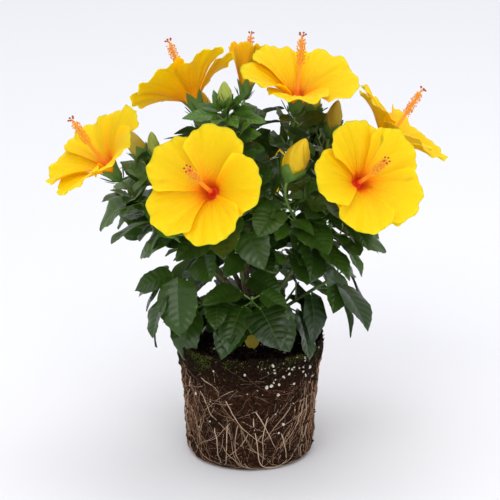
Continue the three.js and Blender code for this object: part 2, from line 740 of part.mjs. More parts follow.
// A mass as it grows: the limbs it follows, the leaves that found room, and its shoots' ends.
class Mass {
  constructor(plan, owner, space) {
    this.plan = plan;
    this.owner = owner;
    this.space = space;
    this.random = seededRandom(owner * SEED.step + SEED.first);
    this.limbs = [];
    this.leaves = [];
    this.ends = [];
    const start = trunkAxis(plan.fork);
    const end = endPose(plan.leader);
    const azimuth = (Math.atan2(end.base.y - start.y, end.base.x - start.x) * 180) / Math.PI;
    const route = new Route(start, direction([azimuth, plan.rise]), end.base, end.axis, STEM.pulls);
    this.hasBough = plan.leader.end !== "tuft";
    this.boughStart = plan.fork < TRUNK.height ? trunkRadius(plan.fork) / 2 : 0;
    this.boughEnd = this.hasBough ? BOUGH.length : this.boughStart;
    this.leader = route;
    const stemStart = this.hasBough ? this.boughEnd + CLEARANCE : this.boughStart;
    this.addShoot(route, stemStart, STEM.radius, plan.leader, end);
    if (plan.side) this.addSide(plan.side);
    const along = [];
    for (let s = ROOM.limbFrom; s < this.boughEnd; s += ROOM.boughStep) along.push(route.at(s).point);
    space.add(owner, true, along);
  }

  addShoot(route, from, startRadius, shoot, end) {
    this.limbs.push({ route, from, to: route.length, startRadius, endRadius: STEM.tipRadius });
    const points = [];
    const first = Math.max(from, ROOM.limbFrom);
    for (let s = first; s < route.length; s += ROOM.stemStep) points.push(route.at(s).point);
    this.space.add(this.owner, true, points);
    const { rows } = ENDS[shoot.end];
    this.ends.push({ kind: shoot.end, pose: end, rows });
    if (shoot.end !== "tuft") this.space.add(this.owner, false, endPoints(end, rows));
  }

  addSide(side) {
    const from = lerp(this.boughEnd, this.leader.length, side.from);
    const { point, heading } = this.leader.at(from);
    const end = endPose(side);
    const route = new Route(point, heading, end.base, end.axis, STEM.sidePulls);
    this.addShoot(route, 0, STEM.sideRadius, side, end);
  }

  // Grows one leaf where it has room, or none.
  tryLeaf(node, heading, reference, turn, length, lift) {
    for (let k = 0; k < LEAF.tries; k++) {
      const draws = [this.random(), this.random(), this.random(), this.random()];
      const size = length * (1 - LEAF.tryShrink * k);
      const angle = turn + LEAF.tryTurn * k;
      const pose = leafPose(node, heading, reference, angle, draws, size, lift + LEAF.tryLift * k);
      const points = leafPoints(pose);
      if (!this.space.isFree(this.owner, points)) continue;
      this.space.add(this.owner, false, points);
      this.leaves.push(pose);
      return;
    }
  }

  // Leaves along a shoot, and the ones gathered close under its end.
  leafOut(index) {
    const { route, from, to } = this.limbs[index];
    const end = ENDS[this.ends[index].kind];
    const last = to - end.bare;
    const [sizeLeast, sizeSpread] = LEAF.sizeSpread;
    let turn = this.random() * 360;
    for (let s = from + LEAF.firstGap; s < last; s += LEAF.spacing) {
      const { point, heading } = route.at(s);
      const lift = liftAt(point, 0);
      const size = LEAF.length * lerp(1, LEAF.topSize, lift) * (sizeLeast + sizeSpread * this.random());
      this.tryLeaf(point, heading, route.reference, turn, size, lift);
      turn += LEAF.turn;
    }
    for (let i = 0; i < end.leaves; i++) {
      const { point, heading } = route.at(last - TUFT.below + (i * TUFT.length) / end.leaves);
      const size = LEAF.length * lerp(end.size, TUFT.lastSize, i / end.leaves);
      this.tryLeaf(point, heading, route.reference, turn, size, end.lift);
      turn += LEAF.turn;
    }
  }

  // The side twig that starts at a point of the leader.
  twigRoute(point, heading, reference, turn) {
    const reach = TWIG.length + TWIG.lengthSpread * this.random();
    const across = squareTo(reference, heading);
    const around = new THREE.Vector3().crossVectors(heading, across);
    const side = across.multiplyScalar(Math.cos(radians(turn)));
    side.addScaledVector(around, Math.sin(radians(turn)));
    side.addScaledVector(heading, TWIG.forwards).normalize();
    const tip = point.clone().addScaledVector(side, reach).addScaledVector(UP, reach * TWIG.rise);
    const tipHeading = side.clone().addScaledVector(UP, TWIG.tipRise).normalize();
    return new Route(point, side, tip, tipHeading, [TWIG.pull, TWIG.pull]);
  }

  // Short side twigs along the leader, each with a few leaves of its own. A twig that finds no room,
  // or whose leaves find none, is left out.
  branchOut() {
    const { route, from, to } = this.limbs[0];
    const count = Math.floor((to - from) / TWIG.spacing);
    for (let i = 0; i < count; i++) {
      const { point, heading } = route.at(lerp(from, to, lerp(...TWIG.places, (i + 0.5) / count)));
      const turn = i * TWIG.turn + this.random() * TWIG.turnSpread;
      const twig = this.twigRoute(point, heading, route.reference, turn);
      const points = ROOM.twigShares.map((share) => twig.at(twig.length * share).point);
      if (!this.space.isFree(this.owner, points)) continue;
      this.space.add(this.owner, true, points);
      const before = this.leaves.length;
      for (let k = 0; k < TWIG.leaves; k++) {
        const place = twig.at(twig.length * (TWIG.firstLeaf + TWIG.leafStep * k));
        const lift = liftAt(place.point, TWIG.leafLift);
        const size = LEAF.length * lerp(...TWIG.leafSizes, lift) * (1 - TWIG.leafShrink * k);
        const angle = turn + TWIG.leafTurn + k * LEAF.turn;
        this.tryLeaf(place.point, place.heading, twig.reference, angle, size, lift + TWIG.leafLift);
      }
      if (this.leaves.length === before) continue;
      const { radius, tipRadius } = TWIG;
      this.limbs.push({ route: twig, from: 0, to: twig.length, startRadius: radius, endRadius: tipRadius });
    }
  }

  bough() {
    const { radius, tipRadius, sides, steps } = BOUGH;
    return limb(this.leader, this.boughStart, this.boughEnd, radius, tipRadius, sides, steps);
  }

  solid() {
    const pieces = this.limbs.map(({ route, from, to, startRadius, endRadius }, i) => {
      const isTwig = i >= this.ends.length;
      const steps = isTwig ? TWIG.steps : Math.ceil((to - from) / STEM.step);
      return limb(route, from, to, startRadius, endRadius, isTwig ? TWIG.sides : STEM.sides, steps);
    });
    for (const { kind, pose, rows } of this.ends) {
      if (rows) pieces.push(bloom(pose, rows));
      else if (kind !== "tuft") pieces.push(turned(pose, BUD.profile, BUD.sides));
    }
    for (const pose of this.leaves) pieces.push(leaf(pose));
    return pieces.reduce((whole, piece) => whole.add(piece));
  }
}

// A named three.js mesh from a solid.
function meshOf(name, made, material) {
  const { vertProperties, triVerts } = made.getMesh();
  const geometry = new THREE.BufferGeometry();
  geometry.setAttribute("position", new THREE.BufferAttribute(vertProperties, 3));
  geometry.setIndex(new THREE.BufferAttribute(triVerts, 1));
  geometry.computeVertexNormals();
  const mesh = new THREE.Mesh(geometry, material);
  mesh.name = name;
  return mesh;
}

const shrub = new THREE.Group();
shrub.name = "hibiscus_shrub";
shrub.add(meshOf("root_ball", rootBall(), COLOURS.soil));
shrub.add(meshOf("trunk", trunk(0), COLOURS.bark));

const space = new Space();
const masses = MASSES.map((plan, owner) => new Mass(plan, owner, space));
const grownTrunk = trunk(CLEARANCE);
for (const mass of masses) {
  if (!mass.hasBough) continue;
  shrub.add(meshOf(`bough_${mass.plan.name}`, mass.bough().subtract(grownTrunk), COLOURS.bark));
}
for (const mass of masses) mass.ends.forEach((_, index) => mass.leafOut(index));
for (const mass of masses) mass.branchOut();
for (const mass of masses) {
  const made = mass.hasBough ? mass.solid() : mass.solid().subtract(grownTrunk);
  shrub.add(meshOf(`mass_${mass.plan.name}`, made, COLOURS.foliage));
}

export default shrub;
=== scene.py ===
# A hibiscus shrub in full flower on its bare root ball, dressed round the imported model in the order
# in which it is put together: root ball, trunk and boughs, shoots, leaves, buds and blooms.
import math

import bmesh
import bpy
import numpy as np
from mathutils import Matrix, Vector, noise


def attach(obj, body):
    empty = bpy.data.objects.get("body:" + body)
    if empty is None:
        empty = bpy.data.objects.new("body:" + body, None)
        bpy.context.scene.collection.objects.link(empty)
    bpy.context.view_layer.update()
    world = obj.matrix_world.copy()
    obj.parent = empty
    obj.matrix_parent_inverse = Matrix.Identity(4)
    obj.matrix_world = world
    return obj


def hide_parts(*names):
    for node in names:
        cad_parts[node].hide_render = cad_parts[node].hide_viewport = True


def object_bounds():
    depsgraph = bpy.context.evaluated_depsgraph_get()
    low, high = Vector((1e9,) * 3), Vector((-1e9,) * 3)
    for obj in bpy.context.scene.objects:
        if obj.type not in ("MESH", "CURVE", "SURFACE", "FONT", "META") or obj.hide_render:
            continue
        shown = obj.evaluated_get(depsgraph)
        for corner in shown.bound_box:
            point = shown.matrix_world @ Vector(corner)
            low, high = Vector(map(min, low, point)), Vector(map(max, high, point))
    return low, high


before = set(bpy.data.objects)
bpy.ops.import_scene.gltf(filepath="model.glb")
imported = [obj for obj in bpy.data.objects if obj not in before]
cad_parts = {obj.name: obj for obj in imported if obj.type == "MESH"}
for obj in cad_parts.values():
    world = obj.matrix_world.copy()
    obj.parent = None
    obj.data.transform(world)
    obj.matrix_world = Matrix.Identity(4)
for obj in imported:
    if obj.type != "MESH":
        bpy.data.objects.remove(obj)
cad_low, cad_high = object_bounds()
MM = 0.001

# The picture. A seamless pale floor under soft studio light: a large softbox above the front, one low
# at its right, one overhead, and a bright even surround. The camera looks down by 19 degrees from
# 2.2 m away, as in the photograph, with a lens that lets the plant fill the frame.
def srgb(colour):
    """A hex colour as linear red, green, blue and alpha."""
    parts = [int(colour[i : i + 2], 16) / 255 for i in (1, 3, 5)]
    return [c / 12.92 if c <= 0.04045 else ((c + 0.055) / 1.055) ** 2.4 for c in parts] + [1.0]


def add_node(tree, kind, settings=None, values=None, links=None):
    """A new node: settings are its properties, values its sockets' numbers, links what feeds them."""
    made = tree.nodes.new(kind)
    for key, value in (settings or {}).items():
        setattr(made, key, value)
    for key, value in (values or {}).items():
        made.inputs[key].default_value = value
    for key, source in (links or {}).items():
        tree.links.new(source, made.inputs[key])
    return made


def new_material(name, colour, roughness, **values):
    """A material with a plain colour. Returns it, its tree and its shader."""
    made = bpy.data.materials.new(name)
    made.use_nodes = True
    shader = made.node_tree.nodes["Principled BSDF"]
    shader.inputs["Base Color"].default_value = srgb(colour)
    shader.inputs["Roughness"].default_value = roughness
    for key, value in values.items():
        shader.inputs[key.replace("_", " ")].default_value = value
    return made, made.node_tree, shader


VIEW_RISE = math.radians(19)
VIEW_DISTANCE = 2.2
VIEW_FIELD = 0.425
AIM = Vector((0.0, 0.0, 0.182))
scene = bpy.context.scene
camera = bpy.data.objects.new("camera", bpy.data.cameras.new("camera"))
scene.collection.objects.link(camera)
camera.location = AIM + VIEW_DISTANCE * Vector((0, -math.cos(VIEW_RISE), math.sin(VIEW_RISE)))
camera.rotation_euler = (AIM - camera.location).to_track_quat("-Z", "Y").to_euler()
camera.data.lens = camera.data.sensor_width * VIEW_DISTANCE / VIEW_FIELD
scene.camera = camera
scene.view_settings.view_transform = "Standard"

# Painted board, matt: it takes soft shadows and gives no mirror image.
FLOOR_REACH = 9.0
floor_mesh = bpy.data.meshes.new("floor")
floor_corners = [(x * FLOOR_REACH, y * FLOOR_REACH, 0) for x, y in ((-1, -1), (1, -1), (1, 1), (-1, 1))]
floor_mesh.from_pydata(floor_corners, [], [(0, 1, 2, 3)])
floor = bpy.data.objects.new("floor", floor_mesh)
scene.collection.objects.link(floor)
floor_mesh.materials.append(new_material("matt white studio board", "#ECECEF", 0.7)[0])

SURROUND = {"colour": "#F6F7FB", "strength": 0.88}
world = bpy.data.worlds.new("studio")
world.use_nodes = True
world.node_tree.nodes["Background"].inputs["Color"].default_value = srgb(SURROUND["colour"])
world.node_tree.nodes["Background"].inputs["Strength"].default_value = SURROUND["strength"]
scene.world = world
for name, place, side, watts in (
    ("key softbox", (-0.6, -1.9, 2.2), 1.5, 25),
    ("low softbox", (0.9, -2.1, 0.3), 1.4, 20),
    ("top softbox", (0.2, 0.5, 2.6), 1.6, 17),
):
    lamp = bpy.data.lights.new(name, "AREA")
    lamp.energy = watts
    lamp.size = side
    softbox = bpy.data.objects.new(name, lamp)
    softbox.location = place
    softbox.rotation_euler = (AIM - softbox.location).to_track_quat("-Z", "Y").to_euler()
    scene.collection.objects.link(softbox)

# Root ball: about a litre of peat potting mix, held in the pot's shape by the roots that filled it.
# Its side is crumbly and uneven, its rim ragged, and its underside flat where the pot stood.
BALL = {
    "top": 63.0, "bottom": 54.0, "height": 100.0, "edge": 7.0, "collar": 78.0, "step": 1.5, "step_rise": 3.0,
}
RIM = {"height": 7.0, "width": 5.0, "foot": 11.0}
SOIL = BALL["height"]
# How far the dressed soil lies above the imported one.
SOIL_PROUD = 0.5
# The height and size in mm of the peat's lumps, clods and crumbs, and the place of each in the noise.
PEAT_LUMPS = ((1.3, 13, 0), (1.1, 5.5, 7), (0.8, 2.6, 19))
# Below this height they fade out towards the flat underside, down to this share.
SMOOTH_FOOT = {"height": 6, "least": 0.08}


class Heap:
    """Loose meshes, in mm, gathered to be joined as one piece. A skin is a face's material number."""

    def __init__(self):
        self.points = []
        self.faces = []
        self.skins = []
        self.count = 0

    def add(self, shape, *skins):
        """Adds points and sets of faces. Each set has its own skin, or all of them share the only one."""
        points, *sets = shape
        for faces, skin in zip(sets, skins if len(skins) > 1 else skins * len(sets)):
            self.faces.append(np.asarray(faces) + self.count)
            self.skins.append(np.broadcast_to(skin, len(faces)))
        self.points.append(points)
        self.count += len(points)

    def make_piece(self, name, materials, node, crease=50):
        """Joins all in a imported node's place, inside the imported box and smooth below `crease` degrees."""
        mesh = bpy.data.meshes.new(name)
        points = np.clip(np.concatenate(self.points) * MM, cad_low, cad_high)
        corners = np.concatenate([f.ravel() for f in self.faces])
        sides = np.concatenate([np.full(len(f), f.shape[1]) for f in self.faces])
        mesh.vertices.add(len(points))
        mesh.vertices.foreach_set("co", points.astype(np.float32).ravel())
        mesh.loops.add(len(corners))
        mesh.loops.foreach_set("vertex_index", corners.astype(np.int32))
        mesh.polygons.add(len(sides))
        starts = np.concatenate([[0], np.cumsum(sides)[:-1]])
        mesh.polygons.foreach_set("loop_start", starts.astype(np.int32))
        mesh.polygons.foreach_set("material_index", np.concatenate(self.skins).astype(np.int32))
        for material in materials:
            mesh.materials.append(material)
        mesh.update(calc_edges=True)
        mesh.shade_smooth()
        mesh.set_sharp_from_angle(angle=math.radians(crease))
        piece = bpy.data.objects.new(name, mesh)
        scene.collection.objects.link(piece)
        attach(piece, "root")
        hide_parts(node)


def quads(index, closed=False):
    """Faces between the rows of a grid of point numbers; `closed` joins its last column to its first."""
    if closed:
        index = np.concatenate([index, index[:, :1]], 1)
    a, b = index[:-1, :-1], index[:-1, 1:]
    c, d = index[1:, 1:], index[1:, :-1]
    return np.stack([a, b, c, d], -1).reshape(-1, 4)


def lumps(points, size, seed=0.0):
    """Smooth random heights from -1 to 1 at points, with lumps of about `size`."""
    return np.array([noise.noise(Vector(p)) for p in points / size + seed])


def wall_radius(z):
    """The root ball's radius at heights on its side: round foot, the pot's taper and its collar."""
    taper = (BALL["top"] - 2 * BALL["step"] - BALL["bottom"]) * z / BALL["height"]
    step = BALL["step"] * np.clip((z - BALL["collar"]) / BALL["step_rise"], 0, 1)
    flare = BALL["step"] * np.clip((z - BALL["collar"]) / (BALL["height"] - BALL["collar"]), 0, 1)
    below = np.clip(BALL["edge"] - z, 0, BALL["edge"])
    foot = BALL["edge"] - np.sqrt(BALL["edge"] ** 2 - below**2)
    return BALL["bottom"] + taper + step + flare - foot


def peat_relief(points):
    """How far the ball's crumbly side stands out of its plain shape, least at the foot."""
    uneven = sum(high * lumps(points, size, seed) for high, size, seed in PEAT_LUMPS)
    return uneven * np.clip(points[:, 2] / SMOOTH_FOOT["height"], SMOOTH_FOOT["least"], 1)


def outwards(points):
    """The level unit directions away from the ball's axis."""
    return points * [1, 1, 0] / np.maximum(np.linalg.norm(points[:, :2], axis=1, keepdims=True), 1)


def round_ball(radius, angle, z):
    """Places at distances from the ball's axis, angles from +X and heights."""
    return np.stack([radius * np.cos(angle), radius * np.sin(angle), z + 0 * angle], -1)


BALL_SPACING = 1.6
BALL_SIDES = 216
edge_heights = BALL["edge"] * np.linspace(0, 1, 8) ** 2
side_heights = [*edge_heights, *np.arange(BALL["edge"] + 2, SOIL, 2)]
outline = np.array([
    (1.0, 0),
    *[(float(wall_radius(z)), z) for z in side_heights],
    (BALL["top"] - 0.3, SOIL + RIM["height"] * 0.6),
    (BALL["top"] - RIM["width"] * 0.4, SOIL + RIM["height"]),
    (BALL["top"] - RIM["width"], SOIL + RIM["height"] * 0.5),
    (BALL["top"] - RIM["foot"], SOIL + SOIL_PROUD),
    (1.0, SOIL + SOIL_PROUD),
])
reach = np.concatenate([[0], np.cumsum(np.linalg.norm(np.diff(outline, axis=0), axis=1))])
stops = np.arange(0, reach[-1], BALL_SPACING)
radii, heights = (np.interp(stops, reach, outline[:, k])[:, None] for k in (0, 1))
around = np.linspace(0, 2 * math.pi, BALL_SIDES, endpoint=False)
ball = round_ball(radii, around, heights).reshape(-1, 3)
relief = peat_relief(ball)
on_top = (ball[:, 2] > SOIL - 1) & (np.linalg.norm(ball[:, :2], axis=1) < BALL["top"] - 2)
ball = ball + outwards(ball) * (relief * ~on_top)[:, None]

# The rim is torn where the roots let go of the pot: higher here and lower there, every centimetre or so.
RAGGED = {"amount": 0.55, "size": 7, "seed": 31, "lowered": 1.2, "share": 0.8, "top_relief": 1.5}
ragged = 1 + RAGGED["amount"] * lumps(ball * [1, 1, 0], RAGGED["size"], RAGGED["seed"])
rim_part = np.clip((ball[:, 2] - SOIL) / RIM["height"], 0, 1)
torn = (ragged - RAGGED["lowered"]) * rim_part * RIM["height"] * RAGGED["share"]
ball[:, 2] += np.where(on_top, RAGGED["top_relief"] * relief, 0) + torn
ball[:, 2] = np.maximum(ball[:, 2], 0)
ball_index = np.arange(len(ball)).reshape(len(stops), BALL_SIDES)
foot_ring, top_ring = ball_index[0], ball_index[-1]
foot_fan = [(len(ball), foot_ring[(j + 1) % BALL_SIDES], foot_ring[j]) for j in range(BALL_SIDES)]
top_fan = [(top_ring[j], top_ring[(j + 1) % BALL_SIDES], len(ball) + 1) for j in range(BALL_SIDES)]
ball_points = np.concatenate([ball, [[0, 0, 0], [0, 0, SOIL]]])
soil_heap = Heap()
soil_heap.add((ball_points, quads(ball_index, closed=True), foot_fan, top_fan), 0)

# Milled peat, pressed in the pot: matt, dark brown fibre and dust in crumbs of a few millimetres, with
# paler ones among them. Nothing in it shines, and towards the top its colour is darker.
PEAT_CRUMB = 3.0
# Between these heights the peat's colour is darkened more and more towards the top.
PEAT_DARKER_TO_TOP = {"From Min": 74 * MM, "From Max": 94 * MM, "To Min": 0, "To Max": 0.13}
PEAT_TONES = ((0.32, "#0F0603"), (0.5, "#211107"), (0.66, "#3A2112"))
peat, tree, shader = new_material("pressed milled peat", "#22150E", 0.95, Specular_IOR_Level=0.08)
place = add_node(tree, "ShaderNodeTexCoord")
crumbs = add_node(
    tree, "ShaderNodeTexNoise",
    values={"Scale": 1 / (PEAT_CRUMB * MM), "Detail": 6, "Roughness": 0.65},
    links={"Vector": place.outputs["Object"]},
)
height = add_node(tree, "ShaderNodeSeparateXYZ", links={"Vector": place.outputs["Object"]})
darker_to_top = add_node(tree, "ShaderNodeMapRange", values=PEAT_DARKER_TO_TOP, links={"Value": height.outputs["Z"]})
darkened = add_node(
    tree, "ShaderNodeMath", {"operation": "SUBTRACT"},
    links={0: crumbs.outputs["Fac"], 1: darker_to_top.outputs["Result"]},
)
tones = add_node(tree, "ShaderNodeValToRGB", links={"Fac": darkened.outputs["Value"]})
for at, tone in PEAT_TONES:
    tones.color_ramp.elements.new(at).color = srgb(tone)
for unused in (0, -1):
    tones.color_ramp.elements.remove(tones.color_ramp.elements[unused])
bump = add_node(
    tree, "ShaderNodeBump",
    values={"Strength": 0.9, "Distance": 0.8 * MM}, links={"Height": crumbs.outputs["Fac"]},
)
tree.links.new(tones.outputs["Color"], shader.inputs["Base Color"])
tree.links.new(bump.outputs["Normal"], shader.inputs["Normal"])
soil_heap.make_piece("peat_ball", [peat], "root_ball")

# Crumbs: loose bits of the same peat, dry and dusty, lie on the soil and cling to the rim and the side.
# They are matt, and a little lighter or darker one by one.
CRUMB_TONES = ("#150D09", "#20140D", "#2F1F17", "#0E0907")
SOIL_CRUMBS, RIM_CRUMBS, SIDE_CRUMBS = 900, 620, 520
rng = np.random.default_rng(11)


def shades(name, tones, roughness, **values):
    """One material for each tone, with the same finish."""
    return [new_material(f"{name} {tone}", tone, roughness, **values)[0] for tone in tones]


def grain_shape(rounds):
    """The points and faces of a ball of 20 triangles, with each split in four `rounds` times."""
    shape = bmesh.new()
    bmesh.ops.create_icosphere(shape, subdivisions=rounds + 1, radius=1)
    points = np.array([v.co for v in shape.verts])
    faces = np.array([[v.index for v in f.verts] for f in shape.faces])
    shape.free()
    return points, faces


def scatter(heap, places, sizes, shape, skins, flatness=0.35, unevenness=0.3):
    """Uneven grains at places, each turned and stretched at random."""
    points, faces = shape
    for place, size, skin in zip(places, sizes, skins):
        turn = np.linalg.qr(rng.normal(size=(3, 3)))[0]
        stretch = 1 + rng.uniform(-flatness, flatness, 3)
        uneven = 1 + rng.uniform(-unevenness, unevenness, (len(points), 1))
        heap.add((place + size * (points * uneven * stretch) @ turn, faces), skin)


def scatter_crumbs(places, sizes):
    """Peat crumbs at places, with a least and a largest size."""
    sizes = rng.uniform(*sizes, len(places))
    skins = rng.integers(0, len(CRUMB_TONES), len(places))
    scatter(crumb_heap, places, sizes, crumb_shape, skins)


def on_soil(count, reach=0.97):
    """Random places on the soil inside the rim."""
    radius = (BALL["top"] - 3) * reach * np.sqrt(rng.uniform(0, 1, count))
    return round_ball(radius, rng.uniform(0, 2 * math.pi, count), SOIL + 1.0)


def on_side(angle, z, proud=0.0):
    """Places on the ball's side at angles from +X and heights, some way proud of it."""
    return round_ball(wall_radius(z) + proud, angle, z)


crumb_shape = grain_shape(0)
crumb_heap = Heap()
scatter_crumbs(on_soil(SOIL_CRUMBS), (0.7, 2.1))
rim_angle = rng.uniform(0, 2 * math.pi, RIM_CRUMBS)
rim_inset = rng.uniform(0, RIM["width"] * 1.3, RIM_CRUMBS)
rim_rise = RIM["height"] * rng.uniform(0.0, 0.8, RIM_CRUMBS) * np.clip(1.4 - rim_inset / 5, 0.2, 1)
scatter_crumbs(round_ball(BALL["top"] - rim_inset, rim_angle, SOIL + rim_rise), (0.6, 1.9))
side_angle = rng.uniform(0, 2 * math.pi, SIDE_CRUMBS)
scatter_crumbs(on_side(side_angle, rng.uniform(8, 99, SIDE_CRUMBS), -0.3), (0.5, 1.5))
crumb_skins = shades("peat crumb", CRUMB_TONES, 0.95, Specular_IOR_Level=0.15)
crumb_heap.make_piece("peat_crumbs", crumb_skins, "root_ball", crease=30)

# Perlite: popped volcanic glass, mixed into the peat to let air in. Its grains are chalky white, rough
# and light, from one to three millimetres across, and lie thickest near the top of the front.
PERLITE_ON_SOIL, PERLITE_FRONT, PERLITE_ROUND = 46, 44, 44
PERLITE_TOP = SOIL + 4
front_angle = rng.normal(math.radians(-60), math.radians(18), PERLITE_FRONT)
front_height = PERLITE_TOP - np.abs(rng.normal(0, 20, PERLITE_FRONT))
round_angle = rng.uniform(0, 2 * math.pi, PERLITE_ROUND)
round_height = rng.uniform(30, PERLITE_TOP, PERLITE_ROUND)
perlite_sides = on_side(front_angle, front_height), on_side(round_angle, round_height)
perlite_places = np.concatenate([on_soil(PERLITE_ON_SOIL), *perlite_sides])
perlite_sizes = 0.4 + rng.uniform(0, 1, len(perlite_places)) ** 2
perlite_heap = Heap()
one_skin = [0] * len(perlite_places)
scatter(perlite_heap, perlite_places, perlite_sizes, grain_shape(1), one_skin, flatness=0.45)
chalk = new_material("expanded perlite", "#C6C0B0", 0.85, Specular_IOR_Level=0.3)[0]
perlite_heap.make_piece("perlite", [chalk], "root_ball", crease=30)

# Moss: short soft shoots, a millimetre or two long, that creep over the damp rim. They are dull olive,
# and thickest at the front left and right.
MOSS_TONES = ("#48541E", "#323D14", "#6B742C")
MOSS = {
    "shoots": 4200, "front": 0.6, "front_angle": math.radians(-100), "front_spread": 0.75,
    "top": SOIL + 5, "depth": 7, "roll": 60, "patch": 11, "bare_below": -0.12,
    "thin_angle": -1.54, "thin_half": 1.2,
    "lean": 0.5, "rise": 0.9, "lengths": (0.8, 2.2), "half_width": 0.35, "half_depth": 0.25,
}
all_round = rng.uniform(0, 2 * math.pi, MOSS["shoots"])
in_front = rng.random(MOSS["shoots"]) < MOSS["front"]
front_angle = rng.normal(MOSS["front_angle"], MOSS["front_spread"], MOSS["shoots"])
moss_angle = np.where(in_front, front_angle, all_round)
moss_height = MOSS["top"] - np.abs(rng.normal(0, MOSS["depth"], MOSS["shoots"]))
# The patches are grown on the ball's side, rolled out flat at the radius that "roll" gives.
rolled_out = np.stack([moss_angle * MOSS["roll"], moss_height, moss_height * 0], -1)
is_mossy = lumps(rolled_out, MOSS["patch"]) > MOSS["bare_below"]
moss_angle, moss_height = moss_angle[is_mossy], moss_height[is_mossy]
# Between the front left and right the shoots stand apart, pushed towards the two sides.
from_middle = (moss_angle - MOSS["thin_angle"] + math.pi) % (2 * math.pi) - math.pi
pushed = np.sqrt(np.clip(np.abs(from_middle) / MOSS["thin_half"], 0, 1)) * MOSS["thin_half"]
is_pushed = np.abs(from_middle) < MOSS["thin_half"]
moss_angle = np.where(is_pushed, MOSS["thin_angle"] + np.sign(from_middle) * pushed, moss_angle)
moss_foot = on_side(moss_angle, np.minimum(moss_height, SOIL + 4), 0.1)
moss_foot[:, 2] = moss_height
moss_lean = rng.normal(0, MOSS["lean"], moss_foot.shape) + round_ball(1.0, moss_angle, MOSS["rise"])
moss_length = rng.uniform(*MOSS["lengths"], (len(moss_foot), 1))
moss_tip = moss_foot + moss_lean / np.linalg.norm(moss_lean, axis=1, keepdims=True) * moss_length
moss_out = round_ball(1.0, moss_angle, 0.0)
moss_wide = np.cross([0, 0, 1], moss_out) * MOSS["half_width"]
moss_foot_corners = [moss_foot - moss_wide, moss_foot + moss_wide, moss_foot - moss_out * MOSS["half_depth"]]
moss_points = np.stack([*moss_foot_corners, moss_tip], 1).reshape(-1, 3)
first = 4 * np.arange(len(moss_foot))[:, None]
moss_faces = np.concatenate([first + [0, 1, 3], first + [1, 2, 3], first + [2, 0, 3], first + [0, 2, 1]])
moss_heap = Heap()
moss_heap.add((moss_points, moss_faces), np.tile(rng.integers(0, len(MOSS_TONES), len(moss_foot)), 4))
moss_skins = shades("moss", MOSS_TONES, 0.8, Specular_IOR_Level=0.2)
moss_heap.make_piece("moss", moss_skins, "root_ball")

# Roots: wiry roots that met the pot's wall and ran down it, forking, and then round its foot. They lie
# half sunk in the peat, a few thick pale ones among many hair-thin ones, and mat together at the sides.
# Their skin is smooth and faintly moist, and gives a soft light along each. It goes from cream to brown.

# For each kind: how many, radius, length, the heights at which they start, the spread of their heading
# from straight down, the chance of a fork at each step, and whether they crowd at the left and right.
ROOTS = (
    (12, 0.52, 96, (40, 84), 0.50, 0.08, False),
    (90, 0.32, 56, (14, 82), 0.70, 0.06, False),
    (640, 0.16, 26, (6, 90), 1.20, 0.0, False),
    (270, 0.28, 62, (46, 101), 0.12, 0.01, True),
)
ROOT_TONES = (
    ("#AE947C", "#9E846C", "#BCA48C"),
    ("#937B64", "#A58C74", "#7B6450"),
    ("#86705A", "#6A5443"),
    ("#8A6448", "#70492F", "#9A7658", "#5A3C28"),
)
# The thick ones that show in front: angle from +X in degrees, height, heading and length.
FRONT_ROOTS = (
    (-114, 70, 0.72, 58), (-88, 62, 0.55, 44), (-99, 48, -0.32, 44), (-107, 50, -0.58, 44),
    (-137, 72, 0.45, 46), (-51, 63, -0.42, 42), (-38, 60, -0.15, 50), (-90, 40, -0.35, 34),
    (-139, 84, 1.5, 26), (-72, 55, -0.5, 52), (-124, 44, 0.3, 38), (-63, 38, 0.35, 34),
)
FRONT_ROOT = {"radius": 0.52, "forks": 0.07}
ROOT = {
    "step": 2.4, "fewest_steps": 4,
    "wander": 0.13, "kept_wander": 0.75, "turn": 0.32, "straightening": 0.015,
    "foot": 8, "foot_heading": 1.5, "foot_turn": 0.4, "lowest": 1.2, "highest": SOIL + 3,
    "fork_turn": (0.35, 0.95), "fork_radius": 0.7, "fork_length": 0.8, "fork_forks": 0.6,
    "proud": 0.2, "uneven": 0.9, "uneven_size": 9, "uneven_seed": 41, "start_depth": 1.6, "rising_steps": 3,
    "tip": 0.3, "girths": (0.85, 1.15), "six_sided": 0.45, "four_sided": 0.26,
    "sizes": (0.6, 1.2), "crowd_spread": 0.42,
}


def frames(path):
    """Unit headings and sideways vectors along a path, turned as little as it allows."""
    ahead = np.gradient(path, axis=0)
    ahead /= np.linalg.norm(ahead, axis=1, keepdims=True)
    start = np.cross(ahead[0], [0.31, 0.17, 0.94])
    across = np.empty_like(path)
    for i, heading in enumerate(ahead):
        start = start - heading * (start @ heading)
        start = start / np.linalg.norm(start)
        across[i] = start
    return ahead, across


def limb(path, radii, sides):
    """A round limb along a path, closed at both ends: its points, side faces and end faces."""
    path = np.asarray(path, float)
    ahead, across = frames(path)
    around = np.cross(ahead, across)
    angle = np.linspace(0, 2 * math.pi, sides, endpoint=False)
    ring = across[:, None] * np.cos(angle)[:, None] + around[:, None] * np.sin(angle)[:, None]
    points = path[:, None] + ring * np.broadcast_to(radii, len(path))[:, None, None]
    count = len(path) * sides
    index = np.arange(count).reshape(len(path), sides)
    first, last = index[0], index[-1]
    ends = [(first[(j + 1) % sides], first[j], count) for j in range(sides)]
    ends += [(last[j], last[(j + 1) % sides], count + 1) for j in range(sides)]
    points = np.concatenate([points.reshape(-1, 3), path[:1], path[-1:]])
    return points, quads(index, closed=True), np.array(ends)


